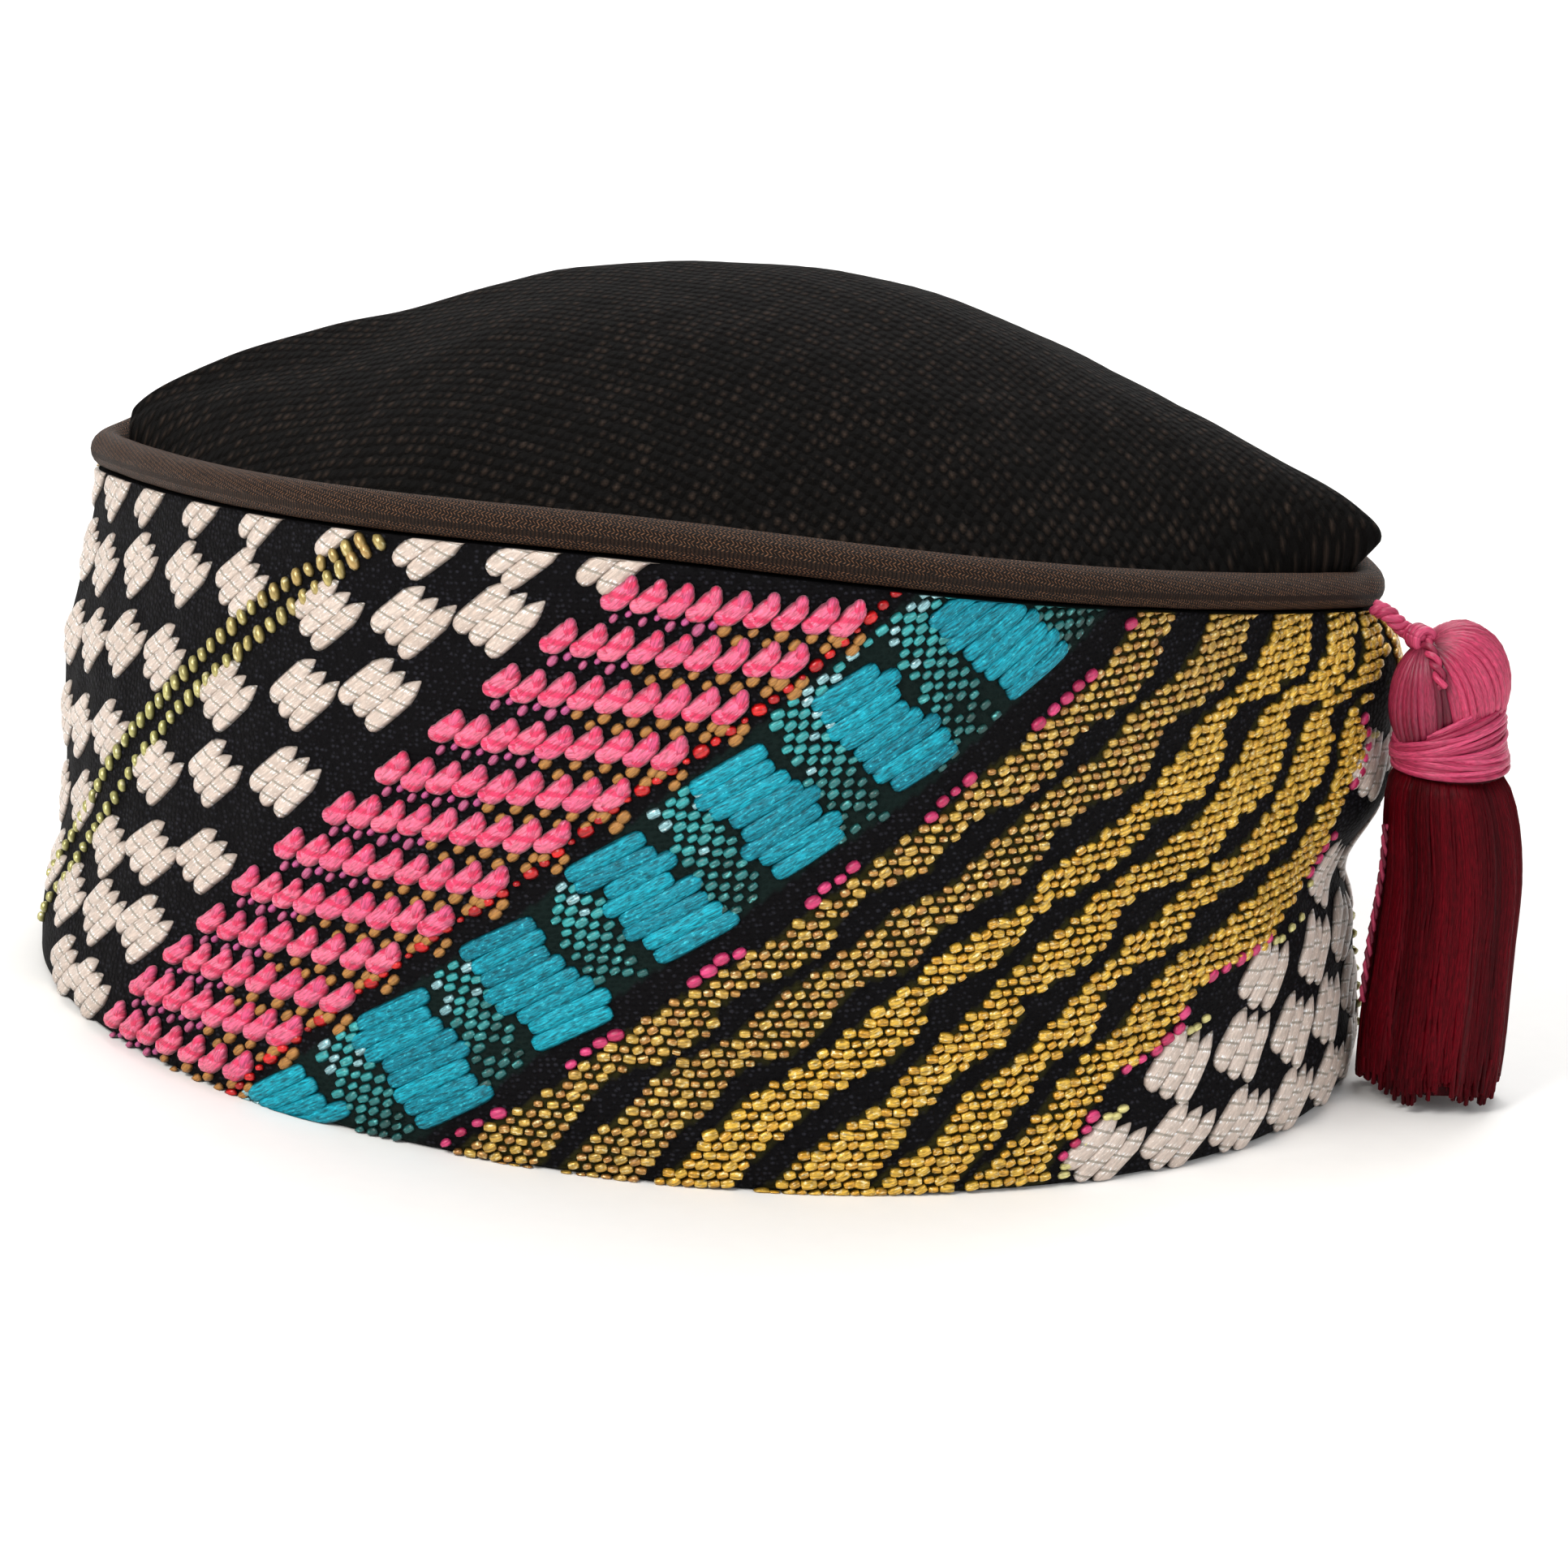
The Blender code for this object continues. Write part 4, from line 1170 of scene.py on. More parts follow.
def make_crown(material):
    """The domed top of knit cloth, with soft ridges and its edge drawn in at the piping."""
    stations, columns = 132, 72
    share = np.arange(1, stations) / stations / 2
    share = share - CROWN_CROWDING / (4 * math.pi) * np.sin(4 * math.pi * share)
    far = crown_rim(share)
    near = crown_rim(-share)
    tip = crown_rim(np.array([0.0]))[0, 0]
    along = far[:, 0] / tip
    dome = np.sqrt(np.clip(1 - np.abs(along) ** CROWN_FULLNESS, 0, 1))
    rise = CROWN_RISE * dome * smooth_table(CROWN_PROFILE, along)
    overhang = CROWN_OVERHANG * smooth_table(CROWN_PROFILE, along, 2)
    across = np.linspace(-1, 1, columns + 1)[None]
    mix = ((across + 1) / 2)[..., None]
    places = near[:, None] * (1 - mix) + far[:, None] * mix
    fall = 1 - across ** 2
    dents = np.zeros_like(places[..., 0])
    for centre, middle, height, half_length, half_width, turn in CROWN_DENTS:
        turn = math.radians(turn)
        run = (along[:, None] - centre) * math.cos(turn) + (across - middle) * math.sin(turn)
        side = (across - middle) * math.cos(turn) - (along[:, None] - centre) * math.sin(turn)
        dents += CROWN_DENT * height * np.exp(-(run / half_length) ** 2 - (side / half_width) ** 2)
    places[..., 0] += overhang[:, None] * fall
    x, y = places[..., 0], places[..., 1]
    slack = 0.30 * np.sin(0.11 * x + 0.07 * y) * np.sin(0.09 * y - 0.05 * x + 1.3)
    slack += 0.16 * np.sin(0.31 * x + 2.0 * np.sin(0.10 * y)) * np.sin(0.27 * y)
    places[..., 2] += (rise[:, None] + dents) * fall + slack * np.minimum(fall * 4, 1)
    ends = [crown_rim(np.array([0.0])), crown_rim(np.array([0.5]))]
    points = np.concatenate([ends[0], places.reshape(-1, 3), ends[1]]) + CENTRE
    row = columns + 1
    last = len(points) - 1
    faces = []
    for column in range(columns):
        faces.append((0, 1 + column + 1, 1 + column))
        end = 1 + (stations - 2) * row + column
        faces.append((last, end, end + 1))
    for station in range(stations - 2):
        for column in range(columns):
            here = 1 + station * row + column
            faces.append((here, here + 1, here + row + 1, here + row))
    item = new_mesh("crown_knit_cloth", points, faces, material)
    give_uv(item, "Cloth", points[:, :2])
    wall = item.modifiers.new("wall", "SOLIDIFY")
    wall.thickness = 1.4 * MM
    wall.offset = -1.0
    apply_modifiers(item)
    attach(item, "root")
    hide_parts("crown")


def apply_modifiers(item):
    """Apply every modifier of an object."""
    bpy.ops.object.select_all(action="DESELECT")
    item.select_set(True)
    bpy.context.view_layer.objects.active = item
    for modifier in list(item.modifiers):
        bpy.ops.object.modifier_apply(modifier=modifier.name)
    item.select_set(False)


def make_piping(material):
    """The cord covered with bias twill along the top seam, a little uneven where it is sewn."""
    steps, sides = 720, 20
    share = np.arange(steps) / steps
    plan = outline_at(TOP, share)
    normal = outline_normal(TOP, share)
    length = share * TOP[1][-1]
    turn = 2 * math.pi * np.arange(sides) / sides
    sewn = np.sin(length[:, None] * 0.42 + 2 * np.sin(length[:, None] * 0.05))
    radius = PIPING_RADIUS * (1 + 0.018 * sewn * np.sin(turn + 1.0))
    points = np.empty((steps, sides, 3))
    points[..., :2] = plan[:, None] + normal[:, None] * (radius * np.cos(turn))[..., None]
    points[..., 2] = seam_height(plan[:, 0])[:, None] + radius * np.sin(turn)
    faces = grid_faces(steps, sides, wrap_rows=True, wrap_columns=True)
    item = new_mesh("piping_twill_cord", points.reshape(-1, 3) + CENTRE, faces, material)
    girth = turn * PIPING_RADIUS
    places = np.stack(np.broadcast_arrays(length[:, None], girth[None]), -1).reshape(-1, 2)
    give_uv(item, "Cloth", places)
    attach(item, "root")
    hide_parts("piping")


def level_ways(turn):
    """Level unit vectors at turns round the tassel."""
    return np.stack([np.cos(turn), np.sin(turn), np.zeros_like(turn)], -1)


def skirt_radius(down):
    """Radius of the skirt at a share of the way down from the neck."""
    return NECK_RADIUS + (SKIRT_RADIUS - NECK_RADIUS) * smooth_table(SKIRT_PROFILE, down)


def make_skirt(material, threads):
    """The hanging threads of the tassel in soft folds, with ragged ends."""
    index = np.arange(threads)
    golden = index * 2.39996
    layer = np.where(index % 4 == 0, 0.90, np.where(index % 4 == 1, 0.96, 1.0)) - 0.035
    steps = 15
    down = np.linspace(0.0, 1.0, steps)[None] ** 1.15
    length = NECK_BOTTOM + 1.5 - FLOOR_CLEARANCE
    cut = 0.89 + 0.11 * scatter(index, 1) ** 0.5
    cut = cut - 0.05 * (0.5 + 0.5 * np.cos(5 * golden + 1.0)) - 0.10 * scatter(index, 9) ** 3
    down = down * cut[:, None]
    wander = 0.12 * np.sin(3.1 * down + 6.28 * scatter(index, 2)[:, None]) * down
    wander += 0.05 * np.sin(9.0 * down + 6.28 * scatter(index, 3)[:, None]) * down
    turn = golden[:, None] + wander + 0.10 * down
    radius = (skirt_radius(down) - 0.45) * layer[:, None] - skirt_folds(turn, down)
    height = np.maximum(NECK_BOTTOM + 1.5 - down * length, FLOOR_CLEARANCE + 0.45)
    centre = tassel_centre(height)
    outward = level_ways(turn)
    paths = centre + outward * radius[..., None]
    thickness = 0.34 + 0.10 * scatter(index, 5)[:, None]
    # painted shade: threads deep in the folds get darker shades
    painted_fold_shade = skirt_folds(turn, down)[:, steps // 2]
    shades = np.clip(0.95 * painted_fold_shade + 0.35 * scatter(index, 6) - 0.10, 0, 1)
    item = sweep_threads("tassel_skirt_threads", paths, thickness, 5, material, outward, shades)
    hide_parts("tassel")


def skirt_folds(turn, down):
    """Depth of the soft folds that the hanging threads gather in."""
    deep = 0.5 + 0.5 * np.cos(7 * turn + 1.2 * np.sin(2 * turn) + 1.5 * down)
    fine = 0.5 + 0.5 * np.cos(17 * turn - 2.0 * down)
    return (0.75 * deep ** 2 + 0.35 * fine) * np.sqrt(down)


def make_skirt_core(material):
    """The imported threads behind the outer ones, closed from the neck to the ends."""
    down = np.linspace(0.0, 0.965, 20)
    sides = 48
    turn = 2 * math.pi * np.arange(sides) / sides
    height = NECK_TOP + 2.0 - down * (NECK_TOP + 2.0 - FLOOR_CLEARANCE)
    neck_share = np.clip((NECK_BOTTOM - height) / (NECK_BOTTOM - FLOOR_CLEARANCE), 0, 1)
    neck = np.interp(height, [NECK_BOTTOM, 52.0, 56.0, NECK_TOP + 2.0], [7.9, 7.3, 6.5, 5.2])
    radius = np.where(height > NECK_BOTTOM, neck, np.maximum(skirt_radius(neck_share) - 1.5, 7.2))
    centre = tassel_centre(height)
    groove = skirt_folds(turn[None], neck_share[:, None])
    points = centre[:, None] + level_ways(turn) * (radius[:, None] - groove)[..., None]
    faces = [tuple(reversed(face)) for face in grid_faces(len(down), sides, wrap_columns=True)]
    top = len(down) * sides
    bottom = top + 1
    for side in range(sides):
        after = (side + 1) % sides
        faces.append((top, side, after))
        faces.append((bottom, (len(down) - 1) * sides + after, (len(down) - 1) * sides + side))
    points = np.concatenate([points.reshape(-1, 3), centre[:1], centre[-1:]])
    item = new_mesh("tassel_skirt_core", points, faces, material)
    give_uv(item, "Thread", np.stack([points[:, 2], np.arctan2(points[:, 1] - centre[0, 1],
                                                              points[:, 0] - centre[0, 0]) * 9], 1))
    # painted shade: the core behind the outer threads is given a dark shade, and a little more near the
    # cloth through rise
    give_value(item, "shade", np.full(len(points), 0.8))
    give_value(item, "rise", np.full(len(points), 0.25))
    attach(item, "root")
    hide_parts("tassel")


def lobe_paths(middle, half_sizes, start, end, count, steps):
    """Threads over an egg-shaped lobe, all from the start point to the end point, and their outward ways."""
    first = unit((start - middle) / half_sizes)
    last = unit((end - middle) / half_sizes)
    chord_middle = (first + last) / 2
    half = np.linalg.norm(last - first) / 2
    along = (last - first) / 2 / half
    facing = unit(chord_middle)
    turn = 2 * math.pi * (np.arange(count)[:, None] + 0.5) / count
    side = facing * np.cos(turn) + np.cross(along, facing) * np.sin(turn)
    reach = side @ chord_middle
    centre = chord_middle - side * reach[:, None]
    radius = np.sqrt(1 - np.sum(centre ** 2, -1))[:, None, None]
    sweep = np.arctan2(half, reach)[:, None]
    at = (sweep * np.linspace(-0.97, 0.97, steps))[..., None]
    ball = centre[:, None] + radius * (np.cos(at) * side[:, None] + np.sin(at) * along)
    return middle + ball * half_sizes, unit(ball / half_sizes)


def at_head(x, y, z):
    """A point given beside the middle of the tassel's head, at a height above the floor."""
    return np.array([HEAD_X + x, -TASSEL_SIDE + y, z]) + CENTRE


def make_head(material):
    """The tassel's head: threads drawn from the cord's knot over two lobes to the neck."""
    knot = at_head(-4.2, -2.7, 67.6)
    large_lobe = (at_head(0.7, 0.3, 61.2), np.array([7.0, 6.9, 8.9]))
    small_lobe = (at_head(-3.0, -1.9, 59.7), np.array([4.9, 5.3, 8.0]))
    large, large_out = lobe_paths(*large_lobe, knot, at_head(0.6, -0.4, 50.0), 84, 18)
    small, small_out = lobe_paths(*small_lobe, knot, at_head(-0.8, -0.8, 49.5), 64, 18)
    # painted shade: the threads are darker in the groove where one lobe's side nears the other, on the small
    # lobe, which lies in shade, low down towards the binding and up near the knot
    shades = []
    for paths, (middle, half_sizes), darkening in ((large, small_lobe, 0.0), (small, large_lobe, 0.40)):
        near = np.linalg.norm((paths - middle) / half_sizes, axis=-1) - 1
        own = 0.25 * scatter(np.arange(len(paths)), 4)[:, None] + darkening
        height = paths[..., 2]
        own = own + 0.35 * np.clip((59.5 - height) / 6, 0, 1) + 0.15 * np.clip((height - 66) / 3, 0, 1)
        shades.append(np.clip(own + 0.85 * np.exp(-(np.maximum(near, 0) / 0.13) ** 2), 0, 1))
    paths = np.concatenate([large, small])
    paths += 0.14 * np.sin(np.arange(len(paths)) * 2.7)[:, None, None]
    outward = np.concatenate([large_out, small_out])
    item = sweep_threads("tassel_head_threads", paths, 0.60, 8, material, outward, np.concatenate(shades))
    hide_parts("tassel")


def twist_strands(line, strands, turns, off):
    """Strands twisted about a line of points."""
    tangent = unit(np.gradient(line, axis=0))
    side = unit(np.cross(tangent, np.array([0.3, 1.0, 0.2])))
    over = np.cross(side, tangent)
    twisted = []
    for strand in range(strands):
        turn = 2 * math.pi * (strand / strands + np.linspace(0, turns, len(line)))
        twisted.append(line + (side * np.cos(turn)[:, None] + over * np.sin(turn)[:, None]) * off)
    return twisted, np.broadcast_to(over, (strands, len(line), 3))


def smooth_line(route, steps):
    """A smooth line of points through the points of a route."""
    at = np.linspace(0, len(route) - 1, steps)
    keys = np.arange(len(route))
    return np.stack([smooth_table(np.column_stack([keys, route[:, axis]]), at) for axis in range(3)], -1)


def make_loose_strands(material):
    """The cord's two ends: one laid down between the lobes, one hanging loose beside the skirt."""
    route = np.array([at_head(-4.4, -2.6, 67.9), at_head(-3.4, -5.0, 66.9), at_head(-2.3, -6.5, 65.2),
                      at_head(-1.3, -7.3, 62.8)])
    laid, laid_over = twist_strands(smooth_line(route, 30), 2, 2.0, 0.48)
    down = np.linspace(0.15, 0.72, 6)
    height = NECK_BOTTOM - down * (NECK_BOTTOM - FLOOR_CLEARANCE)
    turn = math.pi + 0.30
    beside = tassel_centre(height)
    reach = skirt_radius(down) + np.array([-0.4, -0.3, -0.1, 0.1, 0.1, -0.1])
    beside[:, 0] += reach * math.cos(turn)
    beside[:, 1] += reach * math.sin(turn)
    loose, loose_over = twist_strands(smooth_line(beside, 30), 2, 7.0, 0.30)
    radii = np.repeat([0.50, 0.33], 2)[:, None]
    item = sweep_threads("tassel_loose_strands", laid + loose, radii, 7, material,
                         np.concatenate([laid_over, loose_over]))
    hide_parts("tassel")


def make_wrap(material):
    """The binding wound round the neck: its turns lie close at the left and fan out up to the right."""
    strands = []
    outward = []
    turn = np.linspace(0, 2 * math.pi * 1.04, 72) + 1.9
    groups = [
        # strands, low left, high left, low right, high right, off, cross
        (24, 49.5, 52.9, 50.8, 61.2, 0.0, 0.4),
        (12, 49.0, 51.8, 50.4, 54.4, 0.30, -0.4),
        (7, 50.3, 52.3, 55.0, 60.2, 0.70, 1.2),
        (5, 51.8, 53.4, 51.0, 52.4, 0.45, -0.8),
    ]
    for count, low_left, high_left, low_right, high_right, off, cross in groups:
        for strand in range(count):
            share = (strand + 0.5) / count
            mark = strand + count * 50
            left = low_left + (high_left - low_left) * share + 0.5 * (scatter(mark, 1) - 0.5)
            right = low_right + (high_right - low_right) * share + 0.5 * (scatter(mark, 2) - 0.5)
            height = left + (right - left) * (0.5 + 0.5 * np.cos(turn))
            height = height + cross * (scatter(mark, 3) - 0.3) * np.sin(2 * turn)
            radius = np.interp(height, [46, 49, 52, 56, 61], [8.0, 7.9, 7.6, 7.1, 6.5]) + off
            radius = radius + 0.25 * (scatter(mark, 4) - 0.5)
            centre = tassel_centre(height)
            centre[:, 0] += 0.3
            flat = level_ways(turn)
            strands.append(centre + flat * radius[:, None])
            outward.append(flat)
    item = sweep_threads("tassel_binding_threads", strands, 0.40, 7, material, np.array(outward))
    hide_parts("tassel_wrap")


def cord_route():
    """The cord's middle line from beside the corner to the head, as the solids have it."""
    share = np.array([-CORD_START / TOP[1][-1]])
    corner = outline_at(TOP, share)[0]
    reach = PIPING_RADIUS + SEAM_GAP + CORD_RADIUS
    leave = corner + outline_normal(TOP, share)[0] * reach * math.cos(CORD_START_ANGLE)
    start = np.array([*leave, seam_height(corner[0]) - reach * math.sin(CORD_START_ANGLE)])
    head = tassel_centre(np.array([TASSEL_TOP - CORD_SEAT[0] * HEAD_LENGTH]))[0] - CENTRE
    toward = unit(np.array([start[0] - head[0], start[1] - head[1], 0.0]))
    lean = unit(toward + np.array([0, 0, 0.5]))
    end = head + toward * CORD_SEAT[1] * HEAD_RADIUS + lean * SEAM_GAP * 1.5
    knee = end + lean * CORD_RADIUS
    bow = (start + knee) / 2 + np.array([0, -CORD_RADIUS, CORD_RADIUS]) / 2
    return np.array([start, bow, knee, end]) + CENTRE


def make_cord(material):
    """The short cord of three twisted strands from the piping to the head, with the knot that ends it."""
    steps = 34
    line = smooth_line(np.concatenate([cord_route(), [at_head(-4.4, -2.9, 68.2)]]), steps)
    strands, over = twist_strands(line, 3, 2.6, 0.66)
    knot_run = line[-1] - line[-5]
    way = unit(knot_run)
    side = unit(np.cross(way, np.array([0.2, 0.3, 1.0])))
    up = np.cross(side, way)
    turn = np.linspace(0, 2 * math.pi, steps)
    round_turn = (side * np.cos(turn)[:, None] + up * np.sin(turn)[:, None]) * 1.35
    knot = [line[-5] + knot_run * ring * 0.45 + round_turn for ring in range(3)]
    over = np.concatenate([over, np.broadcast_to(way, (3, steps, 3))])
    item = sweep_threads("tassel_cord_strands", strands + knot, 0.64, 9, material, over)
    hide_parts("tassel_cord")


# Settings and operators

class SkullcapCloth(bpy.types.PropertyGroup):
    """Colours of the band, the piping and the crown."""
    # ground: the colour of the painted highlights on the ground's raised floats; the ground itself is near
    # black
    ground: colour_setting("Ground", "Colour of the brocade's black ground", "#2c2c33")
    ivory: colour_setting("Ivory", "Colour of the silk checks", "#d1c0b4")
    pink: colour_setting("Pink", "Colour of the knots", "#f0708e")
    teal: colour_setting("Teal", "Colour of the long teal floats", "#0f9fb4")
    amber: colour_setting("Amber", "Colour of the waves' dots", "#dfb340")
    # piping: the colour of the twill's raised dashes; the hollows between are painted dark as shade
    piping: colour_setting("Piping", "Colour of the twill's raised threads", "#7c563d")
    # crown: the colour of the painted highlights on the knit's raised stitches
    crown: colour_setting("Crown", "Colour of the knit's stitches", "#3a2f28")


class SkullcapTassel(bpy.types.PropertyGroup):
    """Thread of the tassel."""
    skirt: colour_setting("Skirt", "Colour of the hanging threads", "#5a0310")
    head: colour_setting("Head", "Colour of the head's threads", "#c43c62")
    threads: bpy.props.IntProperty(
        name="Threads", description="Number of hanging threads drawn", default=760, min=60, max=1200)


class SKULLCAP_OT_ground(bpy.types.Operator):
    """Make the band's black ground cloth"""
    bl_idname = "skullcap.ground"
    bl_label = "Brocade ground"

    def execute(self, context):
        make_ground(ground_material(context.scene.skullcap_cloth.ground))
        return {"FINISHED"}


class SKULLCAP_OT_checks(bpy.types.Operator):
    """Lay the ivory checks and the gold double line"""
    bl_idname = "skullcap.checks"
    bl_label = "Ivory checks"

    def execute(self, context):
        # cool silk in flat bands, with painted sparkle highlights, split by painted grey shadow lines where
        # stitches tie the long floats down, with painted white glints beside them
        silk = thread_material(
            "Ivory silk floats", context.scene.skullcap_cloth.ivory, linear("#c4b2a5"), 0.20,
            roughness=0.36, contrast=0.26, depth=0.12, root=0.42, patches=(linear("#eee4da"), 0.26, 0.22),
            ribs=(2.75, 0.63, linear("#a0978a"), 0.30, linear("#ffffff")))
        lay_floats("ivory_silk_checks", check_floats(), spindle(11, 8, 0.45, 7.0, 0.80), silk)
        # small greenish-gold beads with painted pale highlights and painted dark edges, turning copper
        # towards the top
        gilt = thread_material(
            "Gilt thread", linear("#b9b470"), linear("#b08850"), 0.3, roughness=0.26, contrast=0.35,
            depth=0.12, root=0.08, patches=(linear("#eee6b4"), 0.6, 0.26), Metallic=0.25)
        lay_floats("gilt_double_line", gold_floats(), spindle(6, 8, 0.5), gilt)
        return {"FINISHED"}


class SKULLCAP_OT_knots(bpy.types.Operator):
    """Lay the pink knots with their small dots and the red line"""
    bl_idname = "skullcap.knots"
    bl_label = "Pink knots"

    def execute(self, context):
        # plump fuzzy cotton with painted shade between its pale strands, painted hot-pink shadow bands where
        # stitches tie the floats down and painted pale glints beside them
        cotton = thread_material(
            "Pink cotton floats", context.scene.skullcap_cloth.pink, linear("#d8467a"), 0.16,
            roughness=0.6, contrast=0.5, depth=0.16, root=0.32, patches=(linear("#e84a78"), 0.8, 0.30),
            ribs=(3.4, 0.84, linear("#e02c5e"), 0.80, linear("#ffb0d0")), Sheen_Weight=0.15)
        lay_floats("pink_cotton_knots", knot_floats(), spindle(8, 8, 0.5, 3.6, 0.15), cotton)
        # dull dots, purple-pink at the left and tan at the right
        mixed = thread_material(
            "Rose and tan cotton dots", linear("#b84e86"), linear("#ab7636"), 0.14,
            roughness=0.6, contrast=0.45, depth=0.1, root=0.3)
        lay_floats("rose_and_tan_dots", small_dot_floats(), spindle(5, 6, 0.5), mixed)
        # a sharp bright red edge to the pink zone
        red = thread_material(
            "Scarlet thread dots", linear("#e01a1c"), linear("#a80c14"), 0.2,
            roughness=0.35, contrast=0.5, depth=0.1, root=0.3)
        lay_floats("scarlet_line", red_floats(), spindle(5, 6, 0.5), red)
        return {"FINISHED"}


class SKULLCAP_OT_teal(bpy.types.Operator):
    """Lay the teal stripe's long floats and its dots"""
    bl_idname = "skullcap.teal"
    bl_label = "Teal stripe"

    def execute(self, context):
        # soft shining bars; the dark lines between the long threads are painted shade at the floats' edges
        bars = thread_material(
            "Teal mercerised cotton floats", context.scene.skullcap_cloth.teal, linear("#087488"), 0.16,
            roughness=0.45, contrast=0.70, depth=0.26, root=0.12, patches=(linear("#34b8ca"), 0.4, 0.30),
            Specular_IOR_Level=0.2)
        lay_floats("teal_long_floats", teal_block_floats(), spindle(12, 8, 0.36, 9.0), bars)
        # muted grains that fade into the dark ground to the right
        dots = thread_material(
            "Teal thread dots", linear("#2b9a9c"), linear("#134440"), 0.16,
            roughness=0.42, contrast=0.5, depth=0.1, root=0.25, patches=(linear("#5fc0bd"), 0.6, 0.25))
        lay_floats("teal_dots", teal_dot_floats(False), spindle(5, 6, 0.4, 5.0), dots)
        # icy sparks among the grains at the left
        silver = thread_material(
            "Silver-blue thread dots", linear("#93c2c8"), linear("#4f9099"), 0.12,
            roughness=0.22, contrast=0.65, depth=0.1, root=0.20, patches=(linear("#e2f0f0"), 0.5, 0.22),
            Metallic=0.3)
        lay_floats("silver_dots", teal_dot_floats(True), spindle(5, 6, 0.4, 5.0), silver)
        return {"FINISHED"}


class SKULLCAP_OT_waves(bpy.types.Operator):
    """Lay the amber waves and the pink dots beside them"""
    bl_idname = "skullcap.waves"
    bl_label = "Amber waves"

    def execute(self, context):
        # grains that alternate pale gold and copper in the two waves at the left, with painted pale glints
        gold = thread_material(
            "Gilt and copper thread dots", linear("#cba548"), linear("#b07a40"), 0.16,
            roughness=0.28, contrast=0.6, depth=0.12, root=0.2, patches=(linear("#f8e4a6"), 0.5, 0.34),
            Metallic=0.25)
        floats = np.concatenate([amber_floats(0, 2), amber_far_floats(0, 2)])
        lay_floats("gilt_copper_waves", floats, spindle(5, 6, 0.42, 4.5), gold)
        # warm yellow grains, each with a small painted highlight
        amber = thread_material(
            "Amber rayon dots", context.scene.skullcap_cloth.amber, linear("#cf962a"), 0.16,
            roughness=0.28, contrast=0.65, depth=0.14, root=0.18, patches=(linear("#fae6a8"), 0.45, 0.34),
            Metallic=0.2)
        floats = np.concatenate([amber_floats(2, 6), amber_far_floats(2, 6)])
        lay_floats("amber_waves", floats, spindle(5, 6, 0.42, 4.5), amber)
        # single strong pink grains that edge the waves
        rose = thread_material(
            "Rose thread dots", linear("#d83c78"), linear("#b02052"), 0.2,
            roughness=0.45, contrast=0.45, depth=0.1)
        lay_floats("rose_dot_lines", rose_dot_floats(), spindle(5, 6, 0.5), rose)
        # a few faint yellow-green grains
        pale = thread_material(
            "Pale gilt dots", linear("#d8d08a"), linear("#b8a868"), 0.25,
            roughness=0.35, contrast=0.4, depth=0.1, Metallic=0.2)
        lay_floats("pale_gilt_dots", pale_dot_floats(), spindle(5, 6, 0.5), pale)
        return {"FINISHED"}


class SKULLCAP_OT_crown(bpy.types.Operator):
    """Make the domed knit crown"""
    bl_idname = "skullcap.crown"
    bl_label = "Crown"

    def execute(self, context):
        make_crown(knit_material(context.scene.skullcap_cloth.crown))
        return {"FINISHED"}


class SKULLCAP_OT_piping(bpy.types.Operator):
    """Make the twill piping"""
    bl_idname = "skullcap.piping"
    bl_label = "Piping"

    def execute(self, context):
        make_piping(twill_material(context.scene.skullcap_cloth.piping))
        return {"FINISHED"}


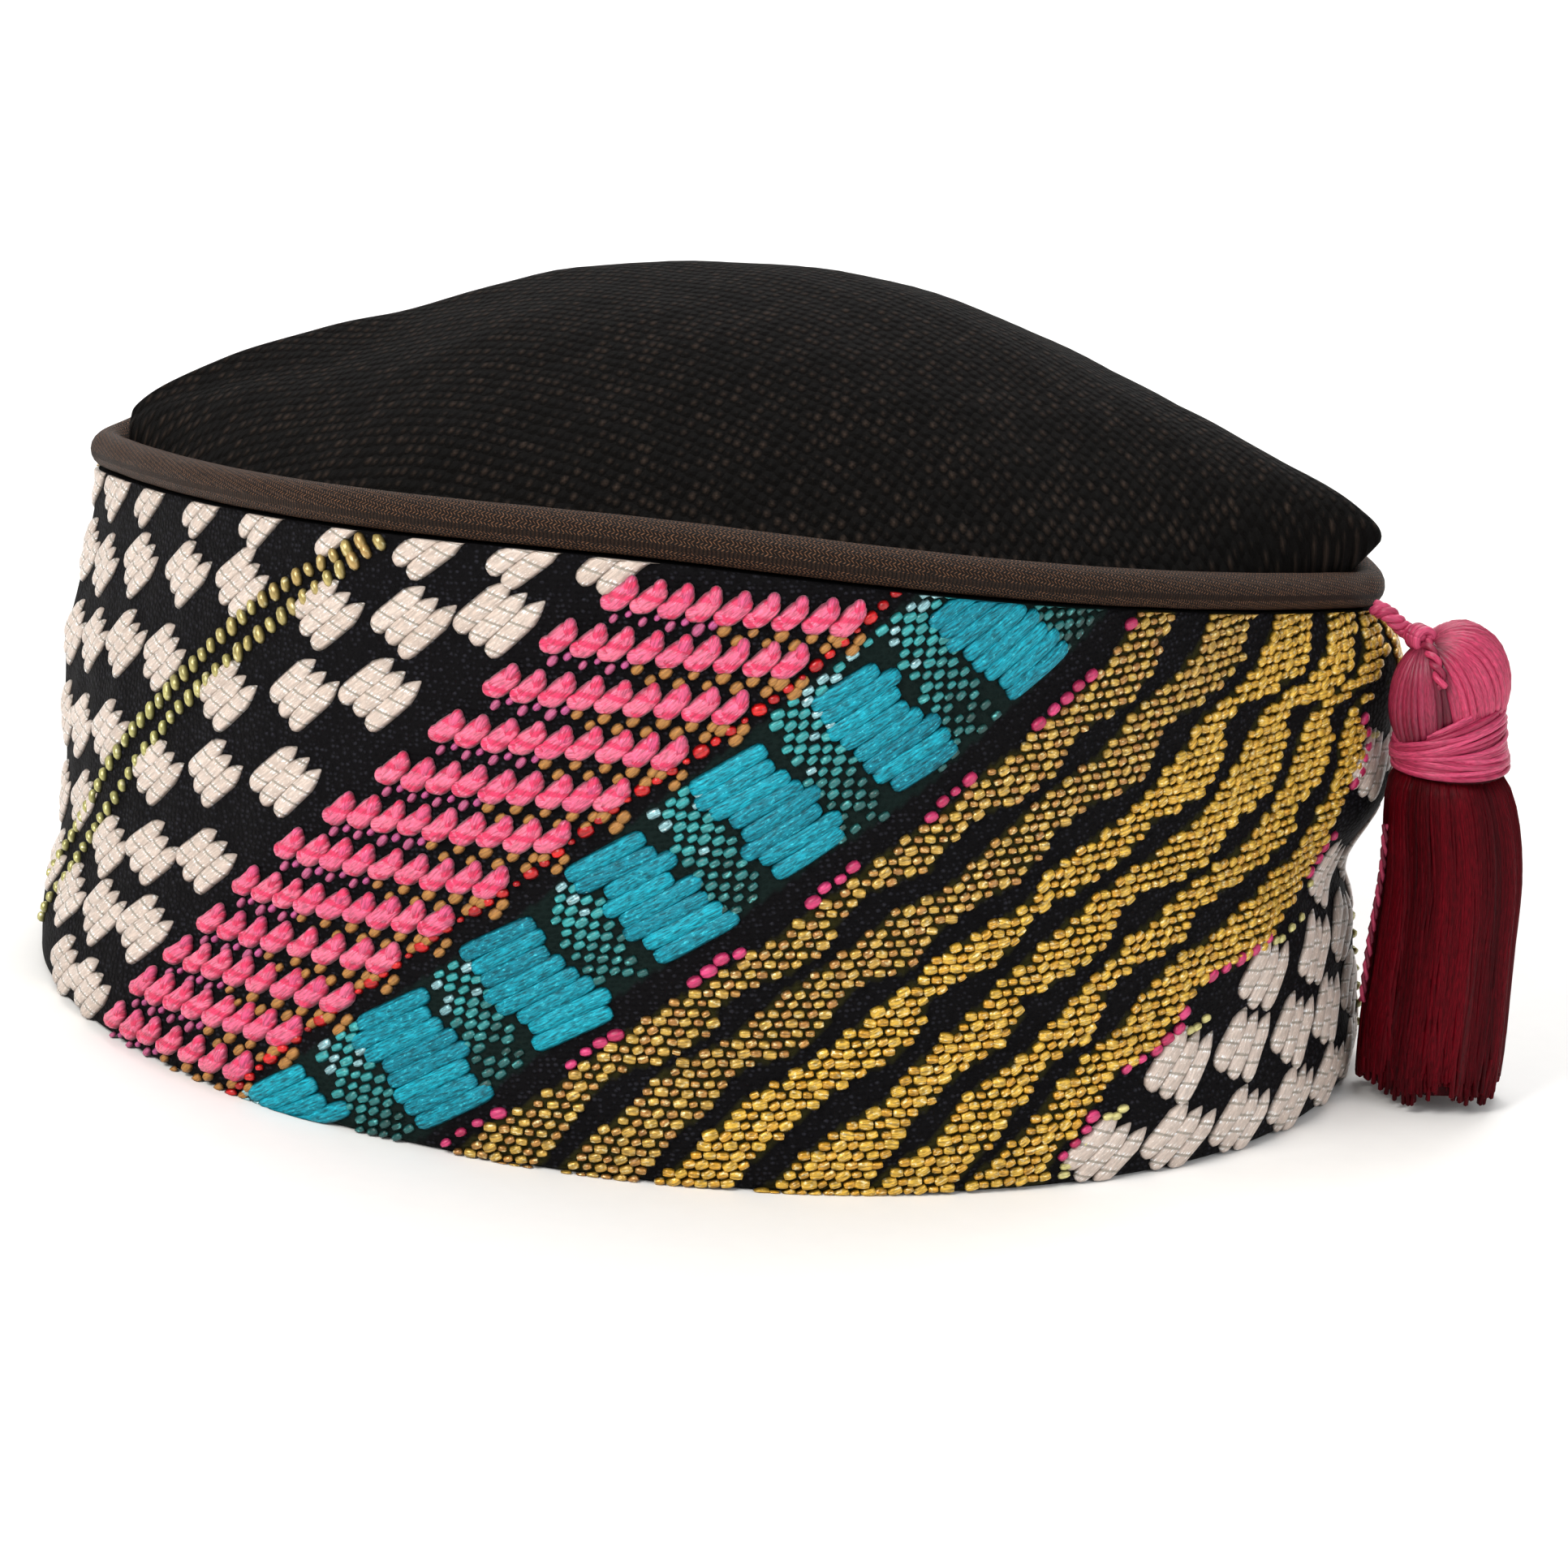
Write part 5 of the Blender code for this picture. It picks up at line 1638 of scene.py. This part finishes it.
class SKULLCAP_OT_tassel(bpy.types.Operator):
    """Make the tassel: cord, head, binding and skirt"""
    bl_idname = "skullcap.tassel"
    bl_label = "Tassel"

    def execute(self, context):
        settings = context.scene.skullcap_tassel
        # deep wine-red hanging threads, painted almost black in the folds as shade
        crimson = thread_material(
            "Crimson rayon thread", settings.skirt, linear("#220104"), 0.14,
            roughness=0.5, contrast=0.5, depth=0.05, root=0.9, Specular_IOR_Level=0.06)
        # lively rose threads over the head with a soft silky light, painted darker towards deep rose where
        # make_head gives them shade
        rose = thread_material(
            "Rose rayon thread", settings.head, linear("#5c0c24"), 0.10,
            roughness=0.42, contrast=0.45, depth=0.05, root=0.9, Specular_IOR_Level=0.35)
        # the same thread laid closer and paler in the binding and the cord
        bright = thread_material(
            "Bright rose rayon thread", linear("#cc4a70"), linear("#9c2448"), 0.12,
            roughness=0.42, contrast=0.4, depth=0.05, root=0.9, Specular_IOR_Level=0.3)
        make_skirt_core(crimson)
        make_skirt(crimson, settings.threads)
        make_head(rose)
        make_loose_strands(rose)
        make_wrap(bright)
        make_cord(bright)
        return {"FINISHED"}


class SKULLCAP_PT_panel(bpy.types.Panel):
    """Lists the pieces of the skullcap and what can be changed on them"""
    bl_idname = "SKULLCAP_PT_panel"
    bl_label = "Skullcap"
    bl_space_type = "VIEW_3D"
    bl_region_type = "UI"
    bl_category = "Skullcap"

    def draw(self, context):
        scene = context.scene
        for group in (scene.skullcap_stage, scene.skullcap_cloth, scene.skullcap_tassel):
            box = self.layout.box()
            for name in group.__annotations__:
                box.prop(group, name)
        for step in STEPS:
            self.layout.operator(step.bl_idname)


STEPS = [
    SKULLCAP_OT_stage,
    SKULLCAP_OT_ground,
    SKULLCAP_OT_checks,
    SKULLCAP_OT_knots,
    SKULLCAP_OT_teal,
    SKULLCAP_OT_waves,
    SKULLCAP_OT_crown,
    SKULLCAP_OT_piping,
    SKULLCAP_OT_tassel,
]
CLASSES = [SkullcapStage, SkullcapCloth, SkullcapTassel, *STEPS, SKULLCAP_PT_panel]


def register():
    """Add the add-on's classes and its settings."""
    for item in CLASSES:
        bpy.utils.register_class(item)
    bpy.types.Scene.skullcap_stage = bpy.props.PointerProperty(type=SkullcapStage)
    bpy.types.Scene.skullcap_cloth = bpy.props.PointerProperty(type=SkullcapCloth)
    bpy.types.Scene.skullcap_tassel = bpy.props.PointerProperty(type=SkullcapTassel)


def unregister():
    """Take the settings and the classes away again."""
    del bpy.types.Scene.skullcap_tassel
    del bpy.types.Scene.skullcap_cloth
    del bpy.types.Scene.skullcap_stage
    for item in reversed(CLASSES):
        bpy.utils.unregister_class(item)


def main():
    """Make the stage and every piece in order."""
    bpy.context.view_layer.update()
    register()
    bpy.ops.skullcap.stage()
    bpy.ops.skullcap.ground()
    bpy.ops.skullcap.checks()
    bpy.ops.skullcap.knots()
    bpy.ops.skullcap.teal()
    bpy.ops.skullcap.waves()
    bpy.ops.skullcap.crown()
    bpy.ops.skullcap.piping()
    bpy.ops.skullcap.tassel()


if __name__ == "__main__":
    main()
